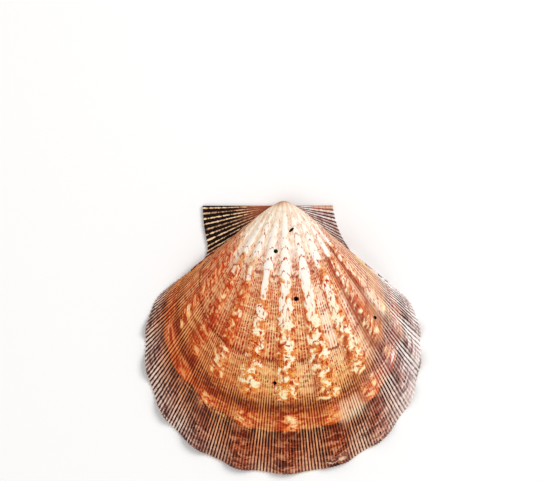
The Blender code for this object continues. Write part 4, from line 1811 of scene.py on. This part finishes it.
@dataclass(frozen=True)
class InnerLining:
    """The smooth inner layer, laid down by the whole mantle rather than at its edge.

    To the eye it is porcelain white with a soft lustre, and brown in a band where the outer
    layer's pigment shows at the rim.
    """

    white: str = "F3E9DE"
    rim: str = "9A5A3C"
    roughness: float = 0.28
    cloud_size: float = 7.0 * MM
    cloud_detail: float = 4.0
    cloud_share: float = 0.12
    band: tuple[float, float] = (0.24, 0.08)

    def material(self) -> Any:
        """Builds the lining's material, which darkens towards the rim.

        Returns:
            The material.
        """
        made, shader, add = new_material("inner_lining")
        inward = add("Attribute", attribute_name="inward", output="Fac")
        cloud = add("TexNoise", add("TexCoord", output="Object"), 1.0 / self.cloud_size, self.cloud_detail)
        wander = add("Math.MULTIPLY_ADD", cloud, self.cloud_share, inward)
        band = add("MapRange", wander, *self.band, **SMOOTH)
        colour = add("Mix", band, rgba(self.white), rgba(self.rim), data_type="RGBA")
        set_inputs(shader, {"Base Color": colour, "Roughness": self.roughness})
        return made


@dataclass(frozen=True)
class BoredWall:
    """Calcite rasped away by a boring snail: matt, and painted a near-black brown that stands for the shade
    inside the hole.
    """

    colour: str = "2A1812"
    shade_mottle: str = "4A3024"
    grain: float = 0.33 * MM
    roughness: float = 0.85

    def material(self) -> Any:
        """Builds the bored wall's material, matt all over.

        Returns:
            The material.
        """
        made, shader, add = new_material("bored_calcite")
        grain = add("TexNoise", add("TexCoord", output="Object"), 1.0 / self.grain)
        # Painted shade: the hole's wall is two near-black browns, mottled by the grain.
        colour = add("Mix", grain, rgba(self.colour), rgba(self.shade_mottle), data_type="RGBA")
        set_inputs(shader, {"Base Color": colour, "Roughness": self.roughness})
        return made


@dataclass(frozen=True)
class SoftBox:
    """A square light that faces the origin, in metres and watts."""

    name: str
    place: tuple[float, float, float]
    size: float
    power: float

    def build(self) -> None:
        """Adds the light to the scene.

        It is turned so that its own -Z axis points from its place to the origin.
        """
        data = bpy.data.lights.new(self.name, "AREA")
        data.shape = "SQUARE"
        data.size = self.size
        data.energy = self.power
        light = placed(self.name, data)
        light.location = self.place
        light.rotation_euler = (-Vector(self.place)).to_track_quat("-Z", "Y").to_euler()


@dataclass(frozen=True)
class Studio:
    """A pale table under broad soft light, seen from straight above."""

    table: str = "FBFAF9"
    table_half: float = 2.5
    table_roughness: float = 0.9
    table_specular: float = 0.1
    scale: float = 0.30357 * MM
    look_at: tuple[float, float] = (-3.99 * MM, 29.6 * MM)
    look_height: float = 3.0 * MM
    distance: float = 1.2
    farthest: float = 10.0
    sensor: float = 36.0
    sky: float = 0.52
    boxes: tuple[SoftBox, ...] = (
        SoftBox("key_soft_box", (0.55, 0.35, 0.75), 0.5, 5.9),
        SoftBox("fill_soft_box", (-0.6, -0.4, 0.8), 0.8, 2.1),
    )

    def table_top(self) -> Any:
        """A wide square of matt white board just under the valve.

        Returns:
            The table.
        """
        half = self.table_half
        corners = [(x * half, y * half, 0.0) for x, y in ((-1, -1), (1, -1), (1, 1), (-1, 1))]
        mesh = bpy.data.meshes.new("table_top")
        mesh.from_pydata(corners, [], [(0, 1, 2, 3)])
        # Board painted white and left unpolished: it spreads the light and hardly glints.
        board, shader, _ = new_material("matt_white_board")
        set_inputs(shader, {
            "Base Color": rgba(self.table), "Roughness": self.table_roughness,
            "Specular IOR Level": self.table_specular,
        })
        mesh.materials.append(board)
        table = placed("table_top", mesh)
        return table

    def light(self) -> None:
        """Lights the table evenly, with a little more from the upper right.

        The sky is plain white, and colours are shown as they are, without a film curve.
        """
        world = bpy.data.worlds.new("soft_room")
        world.use_nodes = True
        sky = {"Color": (1.0, 1.0, 1.0, 1.0), "Strength": self.sky}
        set_inputs(world.node_tree.nodes["Background"], sky)
        bpy.context.scene.world = world
        for box in self.boxes:
            box.build()
        view = bpy.context.scene.view_settings
        view.view_transform = "Standard"
        view.look = "None"

    def camera(self) -> Any:
        """A long lens straight above, at the scale and place that show the valve whole.

        The lens is distance times sensor over the width that the image shows.

        Returns:
            The camera.
        """
        data = bpy.data.cameras.new("camera")
        data.sensor_width = self.sensor
        data.lens = self.distance * self.sensor / (IMAGE_WIDTH * self.scale)
        data.clip_end = self.farthest
        camera = placed("camera", data)
        camera.location = (*self.look_at, self.look_height + self.distance)
        bpy.context.scene.camera = camera
        return camera


def main() -> None:
    """Builds the studio and the valve, in order."""
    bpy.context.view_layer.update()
    studio = Studio()
    studio.camera()
    studio.light()
    studio.table_top()
    log.info("studio: table, two soft boxes and camera")
    Valve().build([OuterCalcite().material(), InnerLining().material(), BoredWall().material()])


if __name__ == "__main__":
    main()
